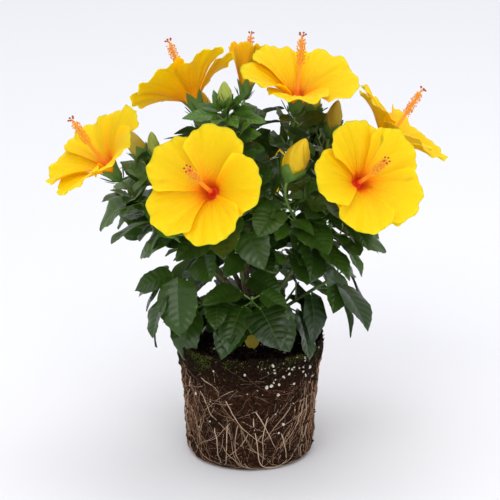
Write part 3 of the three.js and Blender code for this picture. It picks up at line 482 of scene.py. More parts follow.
def run_root(angle, z, heading, radius, length, forks, skin):
    """Lets one root run down the ball's side, and its forks with it."""
    angles, heights = [], []
    wander = 0.0
    while length > 0:
        wander = ROOT["kept_wander"] * wander + rng.normal(0, ROOT["wander"])
        heading += wander * ROOT["turn"] - ROOT["straightening"] * heading
        if z < ROOT["foot"]:
            heading += (math.copysign(ROOT["foot_heading"], heading) - heading) * ROOT["foot_turn"]
        angle += math.sin(heading) * ROOT["step"] / float(wall_radius(z))
        z = min(max(z - math.cos(heading) * ROOT["step"], ROOT["lowest"]), ROOT["highest"])
        angles.append(angle)
        heights.append(z)
        length -= ROOT["step"]
        if len(angles) > ROOT["fewest_steps"] and rng.random() < forks:
            fork = heading + rng.choice([-1, 1]) * rng.uniform(*ROOT["fork_turn"])
            thinner, shorter = radius * ROOT["fork_radius"], length * ROOT["fork_length"]
            run_root(angle, z, fork, thinner, shorter, forks * ROOT["fork_forks"], skin)
    if len(angles) < ROOT["fewest_steps"]:
        return
    wall = on_side(np.array(angles), np.array(heights))
    out_of_peat = np.clip(np.arange(len(wall)) / ROOT["rising_steps"], 0, 1)
    proud = radius * (ROOT["proud"] + ROOT["uneven"] * lumps(wall, ROOT["uneven_size"], ROOT["uneven_seed"]))
    proud -= ROOT["start_depth"] * radius * (1 - out_of_peat)
    path = wall + outwards(wall) * (peat_relief(wall) + proud)[:, None]
    taper = radius * np.linspace(1, ROOT["tip"], len(path)) * rng.uniform(*ROOT["girths"], len(path))
    sides = 6 if radius > ROOT["six_sided"] else 4 if radius > ROOT["four_sided"] else 3
    root_heap.add(limb(path, taper, sides), skin)


root_heap = Heap()
for degrees, z, heading, length in FRONT_ROOTS:
    skin = rng.integers(0, len(ROOT_TONES[0]))
    run_root(math.radians(degrees), z, heading, FRONT_ROOT["radius"], length, FRONT_ROOT["forks"], skin)
first_tone = 0
for (count, radius, length, heights, spread, forks, crowds), tones in zip(ROOTS, ROOT_TONES):
    for _ in range(count):
        if crowds:
            angle = rng.choice([0, math.pi]) + rng.normal(0, ROOT["crowd_spread"])
        else:
            angle = rng.uniform(0, 2 * math.pi)
        heading = rng.normal(0, spread)
        size = rng.uniform(*ROOT["sizes"])
        skin = first_tone + rng.integers(0, len(tones))
        run_root(angle, rng.uniform(*heights), heading, radius * size, length * size, forks, skin)
    first_tone += len(tones)

root_skins = shades("live root", sum(ROOT_TONES, ()), 0.65, Specular_IOR_Level=0.3)
root_heap.make_piece("roots", root_skins, "root_ball")

# Trunk and boughs: young wood under a thin bark with fine upright cracks and the rings of old leaf
# scars. The trunk stands on the soil with a small flare, and the boughs leave it at a swollen collar.
TRUNK = {
    "height": 50.0, "lean": (-3.0, 3.0), "bow": 1.5, "flare_radius": 8.5, "flare_height": 8.0,
    "radius": 5.4, "tip_radius": 3.6, "rings": 64, "sides": 44,
    "bark_depth": 0.3, "scars": (0.05, 8), "scar_gap": 1.9,
}
BOUGH = {
    "radius": 2.5, "tip_radius": 1.9, "length": 34.0,
    "spacing": 1.2, "sides": 20, "collar": 0.22, "collar_fade": 9,
    "bark_depth": 0.13, "scars": (0.07, 12), "scar_turns": 9,
}
CLEARANCE = 0.3


def lerp(a, b, t):
    return a + (b - a) * t


def unit(vector):
    return vector / math.sqrt(vector @ vector)


def trunk_axis(height):
    share = height / TRUNK["height"]
    bow = math.sin(math.pi * share) * TRUNK["bow"]
    return np.array([TRUNK["lean"][0] * share + bow, TRUNK["lean"][1] * share, SOIL + height])


def trunk_radius(height):
    flare = max(0.0, 1 - height / TRUNK["flare_height"])
    shaft = lerp(TRUNK["radius"], TRUNK["tip_radius"], height / TRUNK["height"])
    return shaft + (TRUNK["flare_radius"] - TRUNK["radius"]) * flare * flare


def scarred(phase, swell, sharpness):
    """How much a limb swells at the rings of its old leaf scars, one at each half turn of the phase."""
    return 1 + swell * np.sin(phase) ** sharpness


# The bark's fine cracks and its broader unevenness, each with its size in mm and its place in the noise.
CRACKS, UNEVEN = (1.1, 3), (2.6, 9)
CRACKS_DRAWN_OUT = [1, 1, 0.22]
UNEVEN_SHARE = 0.6


def bark_limb(path, radii, sides, depth):
    """A limb whose side has the bark's relief, drawn out in cracks along it."""
    points, faces, ends = limb(path, radii, sides)
    count = len(path) * sides
    middle = np.repeat(np.asarray(path), sides, 0)
    out = points[:count] - middle
    out /= np.maximum(np.linalg.norm(out, axis=1, keepdims=True), 1e-6)
    cracks = lumps(points[:count] * CRACKS_DRAWN_OUT, *CRACKS)
    streaks = cracks + UNEVEN_SHARE * lumps(points[:count], *UNEVEN)
    points[:count] += out * (depth * streaks)[:, None]
    return points, faces, ends


# Young bark: thin and dull, grey brown with paler corky flecks drawn out up the limb.
BARK_CRACK = 1.2
BARK_TONES = ((0.35, "#3F3325"), (0.68, "#8A7757"))
bark, tree, shader = new_material("young hibiscus bark", "#6A573F", 0.8, Specular_IOR_Level=0.3)
place = add_node(tree, "ShaderNodeTexCoord")
drawn_out = add_node(
    tree, "ShaderNodeMapping", values={"Scale": (1, 1, 0.25)}, links={"Vector": place.outputs["Object"]}
)
flecks = add_node(
    tree, "ShaderNodeTexNoise",
    values={"Scale": 1 / (BARK_CRACK * MM), "Detail": 4, "Roughness": 0.6},
    links={"Vector": drawn_out.outputs["Vector"]},
)
tones = add_node(tree, "ShaderNodeValToRGB", links={"Fac": flecks.outputs["Fac"]})
for at, tone in BARK_TONES:
    tones.color_ramp.elements.new(at).color = srgb(tone)
for unused in (0, -1):
    tones.color_ramp.elements.remove(tones.color_ramp.elements[unused])
bump = add_node(
    tree, "ShaderNodeBump",
    values={"Strength": 0.6, "Distance": 0.25 * MM}, links={"Height": flecks.outputs["Fac"]},
)
tree.links.new(tones.outputs["Color"], shader.inputs["Base Color"])
tree.links.new(bump.outputs["Normal"], shader.inputs["Normal"])

trunk_heights = np.linspace(CLEARANCE, TRUNK["height"], TRUNK["rings"])
trunk_path = np.array([trunk_axis(h) for h in trunk_heights])
trunk_scars = scarred(trunk_heights / TRUNK["scar_gap"], *TRUNK["scars"])
trunk_radii = np.array([trunk_radius(h) for h in trunk_heights]) * trunk_scars
trunk_heap = Heap()
trunk_heap.add(bark_limb(trunk_path, trunk_radii, TRUNK["sides"], TRUNK["bark_depth"]), 0)
trunk_heap.make_piece("trunk_bark", [bark], "trunk")

# Shoots: green stems that grow from the trunk or from a bough, each to its bloom, bud or leafy tip,
# with short side twigs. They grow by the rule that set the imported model's masses out: each mass draws
# its own series of numbers, and its leaves and twigs come where they have room.
UP = np.array([0.0, 0.0, 1.0])
STEM = {
    "radius": 1.8, "side_radius": 1.44, "tip_radius": 1.2, "pulls": (0.42, 0.3), "side_pulls": (0.3, 0.35),
    "scars": (0.12, 10), "scar_gap": 3.5,
}
TWIG = {
    "radius": 1.1, "tip_radius": 0.8, "spacing": 34, "places": (0.1, 0.75), "marks": (0.5, 0.75, 1),
    "turn": 150, "turn_spread": 70, "length": 26, "length_spread": 16,
    "forwards": 0.55, "rise": 0.2, "tip_rise": 0.4, "pull": 0.3,
    "leaves": 4, "first_leaf": 0.35, "leaf_step": 0.21, "leaf_turn": 90, "leaf_lift": 0.1,
    "leaf_sizes": (0.82, 0.58), "leaf_shrink": 0.08,
}
ROUTE_STEPS = 48
LEAF = {
    "length": 54, "width_ratio": 0.7, "petiole_ratio": 0.3, "petiole_spread": (0.8, 0.5),
    "fold": 0.26, "curl": 0.2, "spacing": 11, "first_gap": 5, "turn": 144, "turn_spread": 40,
    "forwards": 0.5, "upwards": 0.3, "outwards": 0.7, "face_outwards": 0.75,
    "droops": (58, -12), "droop_spread": 44, "roll_spread": 0.7,
    "top_size": 0.7, "size_spread": (0.88, 0.24),
    "tries": 4, "try_shrink": 0.1, "try_turn": 55, "try_lift": 0.15,
}
LIFT = {"from": 15, "span": 190}
PETALS = 5
PETAL_ROWS = {
    # distance along the axis and radius, from the calyx to the margin
    "bloom": ((9, 4.6), (21, 9.5), (33, 28), (39, 51)),
    "furled": ((9, 4.6), (22, 8.5), (40, 15), (56, 24)),
}
BLOOM_MARKS = (0, 12, 60, 72)
BUD_MARKS = (0, 13, 26, 38)
ENDS = {
    # the bare length below the end, the leaves gathered there, the size of the lowest and their lift
    "bloom": (24, 2, 0.62, 1.1),
    "furled": (24, 3, 0.62, 1.1),
    "bud": (24, 2, 0.62, 1.1),
    "tuft_bud": (24, 7, 0.62, 1.1),
    "tuft": (6, 5, 0.95, 0.35),
}
TUFT = {"below": 3, "length": 8, "last_size": 0.45}
ROOM = {"foreign": 8.8, "own": 4.4, "limb": 6.5, "soil": 1, "limb_from": 12, "bough_step": 6, "stem_step": 7}
# The points that stand for a leaf: one on its stalk, and shares of its length and half width on its blade.
STALK_MARK = 0.6
LEAF_MARKS = ((0.02, 0), (0.3, 0), (0.62, 0), (1, 0), (0.17, 0.75), (0.17, -0.75))
LEAF_MARKS += ((0.44, 0.85), (0.44, -0.85), (0.76, 0.45), (0.76, -0.45))
SEED_FIRST, SEED_STEP = 4, 7919
# Where the numbers of a mass's sprays start: leaves of one spray share a tone.
TWIG_SPRAYS, FINE_SPRAYS, ROSETTE_SPRAY = 10, 20, 999
MASSES = (
    # Name, where it leaves the trunk and its rise. Then its shoots' ends: the kind, place, facing and
    # size, the roll of a bloom or the girth of a bud, and where on the stem a side shoot leaves.
    ("low_left", 12, 34, ("tuft", (-70, -30, 158), (-156, 30), 1)),
    ("low_front", 14, 36, ("tuft", (2, -58, 160), (-84, 34), 1)),
    ("low_right", 10, 36, ("tuft", (76, -24, 168), (-16, 30), 1)),
    ("low_back_left", 8, 36, ("tuft", (-42, 62, 158), (122, 32), 1)),
    ("low_back_right", 15, 34, ("tuft", (52, 56, 158), (44, 32), 1)),
    (
        *("front", 24, 58),
        ("bloom", (-27, -80, 256), (-112, 30), 1, -12),
        ("tuft_bud", (-20, -44, 320), (-100, 78), 0.6, 1.3, 0.3),
    ),
    (
        *("front_right", 17, 46),
        ("bloom", (84, -56, 256), (-64, 30), 0.96, 12),
        ("bud", (31, -60, 264), (-30, 66), 1, 1.35, 0.35),
    ),
    (
        *("right", 32, 48),
        ("bloom", (106, 34, 256), (8, 50), 0.98, 20),
        ("bud", (66, -4, 284), (-40, 74), 0.85, 1.1, 0.42),
    ),
    ("upper_right", 41, 56, ("bloom", (37, -5, 304), (-60, 76), 1, 0)),
    ("upper_left", 38, 46, ("bloom", (-42, 30, 293), (132, 50), 0.98, 0)),
    ("crown", 50, 86, ("furled", (-5, 64, 298), (76, 60), 0.8, 0)),
    (
        *("left", 34, 44),
        ("bloom", (-108, -38, 257), (-160, 50), 0.96, 0),
        ("bud", (-78, -38, 276), (-120, 76), 0.6, 1.1, 0.42),
    ),
    ("back_left", 20, 48, ("tuft_bud", (-88, 62, 240), (146, 48), 0.9, 1.1)),
    (
        *("back", 30, 48),
        ("bloom", (-12, 96, 196), (96, 24), 1, -8),
        ("bud", (-38, 78, 262), (110, 74), 0.9, 1.3, 0.45),
    ),
    (
        *("back_right", 25, 48),
        ("bloom", (80, 78, 196), (42, 26), 0.97, 15),
        ("tuft_bud", (52, 54, 282), (60, 76), 0.8, 1.2, 0.4),
    ),
)


def series(seed):
    """The rule's own random numbers from 0 to 1."""
    state = seed
    while True:
        state = (state * 1664525 + 1013904223) % 2**32
        yield state / 2**32


def direction(azimuth, elevation):
    flat = math.cos(math.radians(elevation))
    turn = math.radians(azimuth)
    return np.array([flat * math.cos(turn), flat * math.sin(turn), math.sin(math.radians(elevation))])


def square_to(vector, axis):
    return unit(vector - axis * (vector @ axis))


class Route:
    """A smooth route that gives the point and the heading at a distance along it."""

    def __init__(self, start, start_heading, end, end_heading, pulls):
        reach = math.dist(start, end)
        first = start + start_heading * (pulls[0] * reach)
        second = end - end_heading * (pulls[1] * reach)
        t = np.linspace(0, 1, ROUTE_STEPS + 1)[:, None]
        k = 1 - t
        self.points = k**3 * start + 3 * k * k * t * first + 3 * k * t * t * second + t**3 * end
        steps = np.linalg.norm(np.diff(self.points, axis=0), axis=1)
        self.distances = np.concatenate([[0], np.cumsum(steps)])
        self.length = self.distances[-1]
        sideways = np.array([-end_heading[1], end_heading[0], 0.02])
        self.reference = square_to(sideways, start_heading)

    def at(self, distance):
        i = min(max(int(np.searchsorted(self.distances, distance)), 1), ROUTE_STEPS)
        share = (distance - self.distances[i - 1]) / (self.distances[i] - self.distances[i - 1])
        point = lerp(self.points[i - 1], self.points[i], share)
        return point, unit(self.points[i] - self.points[i - 1])

    def path(self, start, end, spacing):
        count = max(int((end - start) / spacing), 2)
        return np.array([self.at(d)[0] for d in np.linspace(start, end, count + 1)])


class Space:
    """The points that stand for all that has grown, against which each new leaf is tested."""

    def __init__(self):
        self.points = np.empty((0, 3))
        self.owners = np.empty(0, int)
        self.limbs = np.empty(0, bool)

    def add(self, owner, is_limb, points):
        points = np.asarray(points, float).reshape(-1, 3)
        self.points = np.concatenate([self.points, points])
        self.owners = np.concatenate([self.owners, np.full(len(points), owner)])
        self.limbs = np.concatenate([self.limbs, np.full(len(points), is_limb)])

    def is_free(self, owner, points, share=1.0):
        """True if the points keep their distance, or a share of it, from what has grown."""
        points = np.asarray(points)
        over_soil = np.hypot(points[:, 0], points[:, 1]) < BALL["top"] + ROOM["soil"]
        if (over_soil & (points[:, 2] < SOIL + RIM["height"] + ROOM["soil"])).any():
            return False
        own = self.owners == owner
        room = np.where(own, ROOM["own"], np.where(self.limbs, ROOM["limb"], ROOM["foreign"])) * share
        room = np.where(own & self.limbs, 0, room)
        apart = ((points[:, None] - self.points) ** 2).sum(-1)
        return not (apart < room * room).any()


def lift_at(point, least):
    return min(max((point[2] - SOIL - LIFT["from"]) / LIFT["span"], least), 1)


def leaf_pose(node, heading, reference, turn, draws, length, lift):
    """How a leaf sits: its stalk's foot and end, the way that the blade points, and its upper side."""
    across = square_to(reference, heading)
    around = np.cross(heading, across)
    angle = math.radians(turn + (draws[0] - 0.5) * LEAF["turn_spread"])
    side = across * math.cos(angle) + around * math.sin(angle)
    stalk = unit(side + heading * LEAF["forwards"] + UP * LEAF["upwards"])
    least, spread = LEAF["petiole_spread"]
    base = node + stalk * (length * LEAF["petiole_ratio"] * (least + spread * draws[1]))
    outward = unit(base * [1, 1, 0])
    flat = unit(side * [1, 1, 0] + outward * LEAF["outwards"])
    droop = math.radians(lerp(*LEAF["droops"], lift) + (draws[2] - 0.5) * LEAF["droop_spread"])
    forward = flat * math.cos(droop) - UP * math.sin(droop)
    face = square_to(UP + outward * LEAF["face_outwards"], forward)
    face = unit(face + np.cross(face, forward) * ((draws[3] - 0.5) * LEAF["roll_spread"]))
    return {
        "node": node,
        "stalk": stalk,
        "base": base,
        "forward": forward,
        "face": face,
        "left": np.cross(face, forward),
        "length": length,
        "width": LEAF["width_ratio"],
        "lift": lift,
    }


def on_blade(pose, along, across):
    sideways = across * pose["length"] * LEAF["width_ratio"] / 2
    rise = abs(sideways) * LEAF["fold"] - LEAF["curl"] * pose["length"] * along * along
    middle = pose["base"] + pose["forward"] * (along * pose["length"])
    return middle + pose["left"] * sideways + pose["face"] * rise


def leaf_points(pose):
    stalk = lerp(pose["node"], pose["base"], STALK_MARK)
    return np.array([stalk, *[on_blade(pose, along, across) for along, across in LEAF_MARKS]])


def round_axis(end, angles, along, radius):
    """Points round the axis of a bloom or bud: angles from its upper side, in radians."""
    side = np.cross(end["axis"], end["upper"])
    angles, along, radius = np.broadcast_arrays(angles, along, radius)
    return (
        end["base"]
        + end["axis"] * (along * end["size"])[..., None]
        + end["upper"] * (radius * end["size"] * np.cos(angles))[..., None]
        + side * (radius * end["size"] * np.sin(angles))[..., None]
    )


def end_points(end):
    """The points that stand for a bloom or bud in the test for room."""
    marks = BLOOM_MARKS if end["kind"] in PETAL_ROWS else BUD_MARKS
    points = [end["base"] + end["axis"] * (along * end["size"]) for along in marks]
    rows = PETAL_ROWS.get(end["kind"], ())
    first = math.pi / PETALS + end["roll"]
    for (low, narrow), (high, wide) in zip(rows, rows[1:]):
        for share in (0.5, 1):
            radius = lerp(narrow, wide, share)
            count = math.ceil(radius / 2)
            angles = first + 2 * math.pi * np.arange(count) / count
            points.extend(round_axis(end, angles, lerp(low, high, share), radius))
    return points


class Mass:
    """A mass as it grows: the limbs it follows, the leaves that found room, and its shoots' ends."""

    def __init__(self, number, plan, space):
        self.name, fork, rise, leader, *side = plan
        self.owner = number
        self.space = space
        self.random = series(number * SEED_STEP + SEED_FIRST)
        self.limbs = []
        self.leaves = []
        self.ends = []
        start = trunk_axis(fork)
        end = self.end_of(leader)
        azimuth = math.degrees(math.atan2(end["base"][1] - start[1], end["base"][0] - start[0]))
        route = Route(start, direction(azimuth, rise), end["base"], end["axis"], STEM["pulls"])
        self.has_bough = leader[0] != "tuft"
        self.bough_start = trunk_radius(fork) / 2 if fork < TRUNK["height"] else 0
        self.bough_end = BOUGH["length"] if self.has_bough else self.bough_start
        self.leader = route
        self.add_shoot(route, self.bough_end + CLEARANCE * self.has_bough, STEM["radius"], end)
        if side:
            self.add_side(side[0])
        along = np.arange(ROOM["limb_from"], self.bough_end, ROOM["bough_step"])
        space.add(number, True, [route.at(s)[0] for s in along])

    def end_of(self, shoot):
        kind, place, faces, size = shoot[:4]
        axis = direction(*faces)
        has_petals = kind in PETAL_ROWS
        return {
            "kind": kind,
            "base": np.array(place, float),
            "axis": axis,
            "upper": square_to(UP, axis),
            "size": size,
            "roll": math.radians(shoot[4]) if has_petals else 0,
            "girth": 1 if has_petals or kind == "tuft" else shoot[4],
        }

    def add_limb(self, route, start, radii):
        self.limbs.append({"route": route, "from": start, "to": route.length, "radii": radii})

    def add_shoot(self, route, start, radius, end):
        self.add_limb(route, start, (radius, STEM["tip_radius"]))
        along = np.arange(max(start, ROOM["limb_from"]), route.length, ROOM["stem_step"])
        self.space.add(self.owner, True, [route.at(s)[0] for s in along])
        self.ends.append(end)
        if end["kind"] != "tuft":
            self.space.add(self.owner, False, end_points(end))

    def add_side(self, side):
        point, heading = self.leader.at(lerp(self.bough_end, self.leader.length, side[5]))
        end = self.end_of(side)
        route = Route(point, heading, end["base"], end["axis"], STEM["side_pulls"])
        self.add_shoot(route, 0, STEM["side_radius"], end)

    def try_leaf(self, node, heading, reference, turn, length, lift, spray, share=1.0):
        """Grows one leaf where it has room, or none, and returns it."""
        for k in range(LEAF["tries"]):
            draws = [next(self.random) for _ in range(4)]
            size = length * (1 - LEAF["try_shrink"] * k)
            angle = turn + LEAF["try_turn"] * k
            pose = leaf_pose(node, heading, reference, angle, draws, size, lift + LEAF["try_lift"] * k)
            points = leaf_points(pose)
            if self.space.is_free(self.owner, points, share):
                self.space.add(self.owner, False, points)
                pose["spray"] = spray
                self.leaves.append(pose)
                return pose
        return None

    def leaf_out(self, index):
        """Leaves along a shoot, and the ones gathered close under its end."""
        limb_of = self.limbs[index]
        route = limb_of["route"]
        bare, leaves, first_size, end_lift = ENDS[self.ends[index]["kind"]]
        last = limb_of["to"] - bare
        least, spread = LEAF["size_spread"]
        turn = next(self.random) * 360
        s = limb_of["from"] + LEAF["first_gap"]
        while s < last:
            point, heading = route.at(s)
            lift = lift_at(point, 0)
            size = LEAF["length"] * lerp(1, LEAF["top_size"], lift) * (least + spread * next(self.random))
            self.try_leaf(point, heading, route.reference, turn, size, lift, index)
            turn += LEAF["turn"]
            s += LEAF["spacing"]
        for i in range(leaves):
            point, heading = route.at(last - TUFT["below"] + i * TUFT["length"] / leaves)
            size = LEAF["length"] * lerp(first_size, TUFT["last_size"], i / leaves)
            self.try_leaf(point, heading, route.reference, turn, size, end_lift, index)
            turn += LEAF["turn"]

    def twig_route(self, point, heading, reference, turn, length, spread):
        """The side twig that starts at a point of a limb."""
        reach = length + spread * next(self.random)
        across = square_to(reference, heading)
        around = np.cross(heading, across)
        side = across * math.cos(math.radians(turn)) + around * math.sin(math.radians(turn))
        side = unit(side + heading * TWIG["forwards"])
        tip = point + side * reach + UP * (reach * TWIG["rise"])
        return Route(point, side, tip, unit(side + UP * TWIG["tip_rise"]), (TWIG["pull"], TWIG["pull"]))

    def branch_out(self):
        """Short side twigs along the leader, each with a few leaves of its own."""
        limb_of = self.limbs[0]
        reference = limb_of["route"].reference
        count = int((limb_of["to"] - limb_of["from"]) / TWIG["spacing"])
        for i in range(count):
            place = lerp(*TWIG["places"], (i + 0.5) / count)
            point, heading = limb_of["route"].at(lerp(limb_of["from"], limb_of["to"], place))
            turn = i * TWIG["turn"] + next(self.random) * TWIG["turn_spread"]
            twig = self.twig_route(point, heading, reference, turn, TWIG["length"], TWIG["length_spread"])
            points = [twig.at(twig.length * share)[0] for share in TWIG["marks"]]
            if not self.space.is_free(self.owner, points):
                continue
            self.space.add(self.owner, True, points)
            before = len(self.leaves)
            for k in range(TWIG["leaves"]):
                spot, way = twig.at(twig.length * (TWIG["first_leaf"] + TWIG["leaf_step"] * k))
                lift = lift_at(spot, TWIG["leaf_lift"])
                size = LEAF["length"] * lerp(*TWIG["leaf_sizes"], lift) * (1 - TWIG["leaf_shrink"] * k)
                angle = turn + TWIG["leaf_turn"] + k * LEAF["turn"]
                lift += TWIG["leaf_lift"]
                self.try_leaf(spot, way, twig.reference, angle, size, lift, TWIG_SPRAYS + i)
            if len(self.leaves) > before:
                self.add_limb(twig, 0, (TWIG["radius"], TWIG["tip_radius"]))


space = Space()
masses = [Mass(number, plan, space) for number, plan in enumerate(MASSES)]
for mass in masses:
    for index in range(len(mass.ends)):
        mass.leaf_out(index)
for mass in masses:
    mass.branch_out()

# The boughs' bark. Each bough is the start of its mass's leader, from inside the trunk to where the
# mass begins.
for mass in masses:
    if not mass.has_bough:
        continue
    path = mass.leader.path(mass.bough_start, mass.bough_end, BOUGH["spacing"])
    share = np.linspace(0, 1, len(path))
    collar = 1 + BOUGH["collar"] * np.exp(-share * BOUGH["collar_fade"])
    radii = lerp(BOUGH["radius"], BOUGH["tip_radius"], share) * collar
    radii *= scarred(share * BOUGH["scar_turns"], *BOUGH["scars"])
    heap = Heap()
    heap.add(bark_limb(path, radii, BOUGH["sides"], BOUGH["bark_depth"]), 0)
    heap.make_piece(f"bough_bark_{mass.name}", [bark], f"bough_{mass.name}")

# Finer growth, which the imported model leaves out. The same rule goes on within the masses' reach with
# less room asked: thin twiglets on the stems, and small leaves on them and between the large ones.
FINE = {
    "from_height": 180, "first_gap": 6, "spacing": 16, "length": 15, "length_spread": 12,
    "radius": 0.7, "tip_radius": 0.45, "room": 0.66, "marks": (0.6, 1), "bare_share": 0.7, "twig_bare": 3,
}
FINE_LEAF = {
    "first_gap": 3, "spacing": 12, "sizes": (0.58, 0.42), "size_spread": (0.8, 0.4), "lift": 0.3,
    "on_twiglet": 3, "first": 0.45, "step": 0.27, "shrink": 0.12, "least_lift": 0.1, "twiglet_lift": 0.2,
}
# A tuft's bud stands in a rosette of narrow young leaves, the newest and smallest nearest to it.
ROSETTE = {
    "leaves": 15, "sizes": (32, 11), "below": 15, "width": 0.4, "turn": 137.5,
    "lifts": (0.95, 1.75), "room": 0.3,
}


def fine_nodes(limb_of, first_gap, spacing, last):
    """The places for finer growth along a limb, where it stands in the crown."""
    s = limb_of["from"] + first_gap
    while s < last:
        point, heading = limb_of["route"].at(s)
        if point[2] >= FINE["from_height"]:
            yield s, point, heading
        s += spacing


def grow_twiglet(mass, route, point, heading, turn, spray):
    """A twiglet with its small leaves, if there is room for it and for one of them."""
    twiglet = mass.twig_route(point, heading, route.reference, turn, FINE["length"], FINE["length_spread"])
    marks = [twiglet.at(twiglet.length * share)[0] for share in FINE["marks"]]
    if not mass.space.is_free(mass.owner, marks, FINE["room"]):
        return
    before = len(mass.leaves)
    for k in range(FINE_LEAF["on_twiglet"]):
        spot, way = twiglet.at(twiglet.length * (FINE_LEAF["first"] + FINE_LEAF["step"] * k))
        lift = lift_at(spot, FINE_LEAF["least_lift"])
        size = LEAF["length"] * lerp(*FINE_LEAF["sizes"], lift) * (1 - FINE_LEAF["shrink"] * k)
        lift += FINE_LEAF["twiglet_lift"]
        mass.try_leaf(spot, way, twiglet.reference, turn + k * LEAF["turn"], size, lift, spray, FINE["room"])
    if len(mass.leaves) > before:
        mass.space.add(mass.owner, True, marks)
        mass.add_limb(twiglet, 0, (FINE["radius"], FINE["tip_radius"]))


def grow_finer(mass):
    """Twiglets, and then small leaves, along every limb of a mass."""
    least, spread = FINE_LEAF["size_spread"]
    for number, limb_of in enumerate(list(mass.limbs)):
        route = limb_of["route"]
        bare = ENDS[mass.ends[number]["kind"]][0] if number < len(mass.ends) else FINE["twig_bare"]
        last = limb_of["to"] - bare * FINE["bare_share"]
        turn = next(mass.random) * 360
        for s, point, heading in fine_nodes(limb_of, FINE["first_gap"], FINE["spacing"], last):
            grow_twiglet(mass, route, point, heading, turn, FINE_SPRAYS * (1 + number) + int(s))
            turn += LEAF["turn"]
        for s, point, heading in fine_nodes(limb_of, FINE_LEAF["first_gap"], FINE_LEAF["spacing"], last):
            lift = lift_at(point, 0)
            size = LEAF["length"] * lerp(*FINE_LEAF["sizes"], lift) * (least + spread * next(mass.random))
            lift += FINE_LEAF["lift"]
            mass.try_leaf(point, heading, route.reference, turn, size, lift, number, FINE["room"])
            turn += LEAF["turn"]


def grow_rosette(mass, limb_of):
    route = limb_of["route"]
    turn = next(mass.random) * 360
    for k in range(ROSETTE["leaves"]):
        share = k / ROSETTE["leaves"]
        point, heading = route.at(limb_of["to"] - ROSETTE["below"] * (1 - share))
        lift = lerp(*ROSETTE["lifts"], share)
        size = lerp(*ROSETTE["sizes"], share)
        room = ROSETTE["room"]
        young = mass.try_leaf(point, heading, route.reference, turn, size, lift, ROSETTE_SPRAY, room)
        if young:
            young["width"] = ROSETTE["width"]
        turn += ROSETTE["turn"]


for mass in masses:
    for limb_of, end in zip(mass.limbs, mass.ends):
        if end["kind"] == "tuft_bud":
            grow_rosette(mass, limb_of)
for mass in masses:
    grow_finer(mass)

# Between the front blooms the crown closes with four leaves more, and one small old leaf hangs low.
# Each has its mass, limb, distance along it, turn, length and lift.
CLOSING_LEAVES = (
    (8, 6, 15.0, 340, 34, 0.3),
    (5, 1, 87.0, 40, 34, 0.6),
    (6, 1, 79.0, 60, 32, 0.3),
    (5, 10, 11.0, 260, 30, 0.6),
)
OLD_LEAF = (1, 0, 8.4, 270, 22, 0.2)


def one_more(number, limb, along, turn, length, lift):
    """A leaf that sits by the rule, with its chance left out."""
    route = masses[number].limbs[limb]["route"]
    pose = leaf_pose(*route.at(along), route.reference, turn, [0.5] * 4, length, lift)
    pose["spray"] = limb
    masses[number].leaves.append(pose)
    return pose


for plan in CLOSING_LEAVES:
    one_more(*plan)
oldest = one_more(*OLD_LEAF)

# Stems, twigs and leaf stalks: green wood that swells a little where each leaf has sat. The lower stems
# have begun to turn brown, and the tips and stalks stay a soft, light green.
# Their skin is thin and smooth, and gives a dim sheen along each stem.
STEM_TONES = ("#5C4D33", "#4E5A2C", "#5A7A34", "#6E8C42")
GREENING = {"height": 190, "along": 0.5, "tones": 3.2}
# Above this radius a stem takes the first of two grids: each is the step along it and its sides.
THICK_STEM = 1.2
STEM_GRIDS = (3.0, 9), (4.0, 6)
STALK = {"girth": 0.45, "leaf_girth": 0.4, "bend": 0.6, "sides": 6, "light_from": 0.6}
STALK_SHAPE = np.array([1.35, 1.0, 0.92, 0.9, 0.92, 1.0, 1.1])
stem_skins = shades("green stem", STEM_TONES, 0.5, Specular_IOR_Level=0.4)


def stalk_path(pose):
    """A leaf's stalk, which leaves its twig along one heading and meets the blade along another."""
    t = np.linspace(0, 1, len(STALK_SHAPE))[:, None]
    reach = math.dist(pose["node"], pose["base"])
    bend = pose["node"] + pose["stalk"] * reach * STALK["bend"]
    return (1 - t) ** 2 * pose["node"] + 2 * (1 - t) * t * bend + t * t * pose["base"]


def add_stem(heap, limb_of):
    """A stem or twig, ringed by its leaf scars and greener towards its tip."""
    step, sides = STEM_GRIDS[0] if limb_of["radii"][0] > THICK_STEM else STEM_GRIDS[1]
    path = limb_of["route"].path(limb_of["from"], limb_of["to"], step)
    share = np.linspace(0, 1, len(path))
    radii = lerp(*limb_of["radii"], share)
    radii = radii * scarred(share * limb_of["to"] / STEM["scar_gap"], *STEM["scars"])
    green = (path[:-1, 2] - SOIL) / GREENING["height"] + share[:-1] * GREENING["along"]
    tone = np.clip((green * GREENING["tones"]).astype(int), 0, len(STEM_TONES) - 1)
    heap.add(limb(path, radii, sides), np.repeat(tone, sides), int(tone[-1]))


for mass in masses:
    heap = Heap()
    for limb_of in mass.limbs:
        add_stem(heap, limb_of)
    for pose in mass.leaves:
        girth = STALK["girth"] + STALK["leaf_girth"] * min(pose["length"] / LEAF["length"], 1)
        tone = 2 if pose["lift"] < STALK["light_from"] else 3
        heap.add(limb(stalk_path(pose), girth * STALK_SHAPE, STALK["sides"]), tone)
    heap.make_piece(f"twigs_{mass.name}", stem_skins, f"mass_{mass.name}")

# Leaves: broad and pointed, with a heart-shaped foot, small teeth where the side veins end, and blades
# that swell between sunken veins. Sprays differ in colour, and the young leaves on top are lightest.
# Leaves inside the crown and low down get darker tones: painted shade.
BLADE = {
    "thickness": 0.35, "vein_width": 0.4, "vein_slant": 0.2, "veins_from": 0.06, "veins_to": 0.86,
    "shrink": 0.1, "girths": (0.92, 1.1), "teeth": (1.03, 0.97), "least_half": 0.15, "rib": 0.5,
    "lobes": 0.085, "pucker": 0.017, "beats": (1.2, 2.3), "wave": 0.024, "curls": (0.6, 1.6), "bend": 0.04,
}
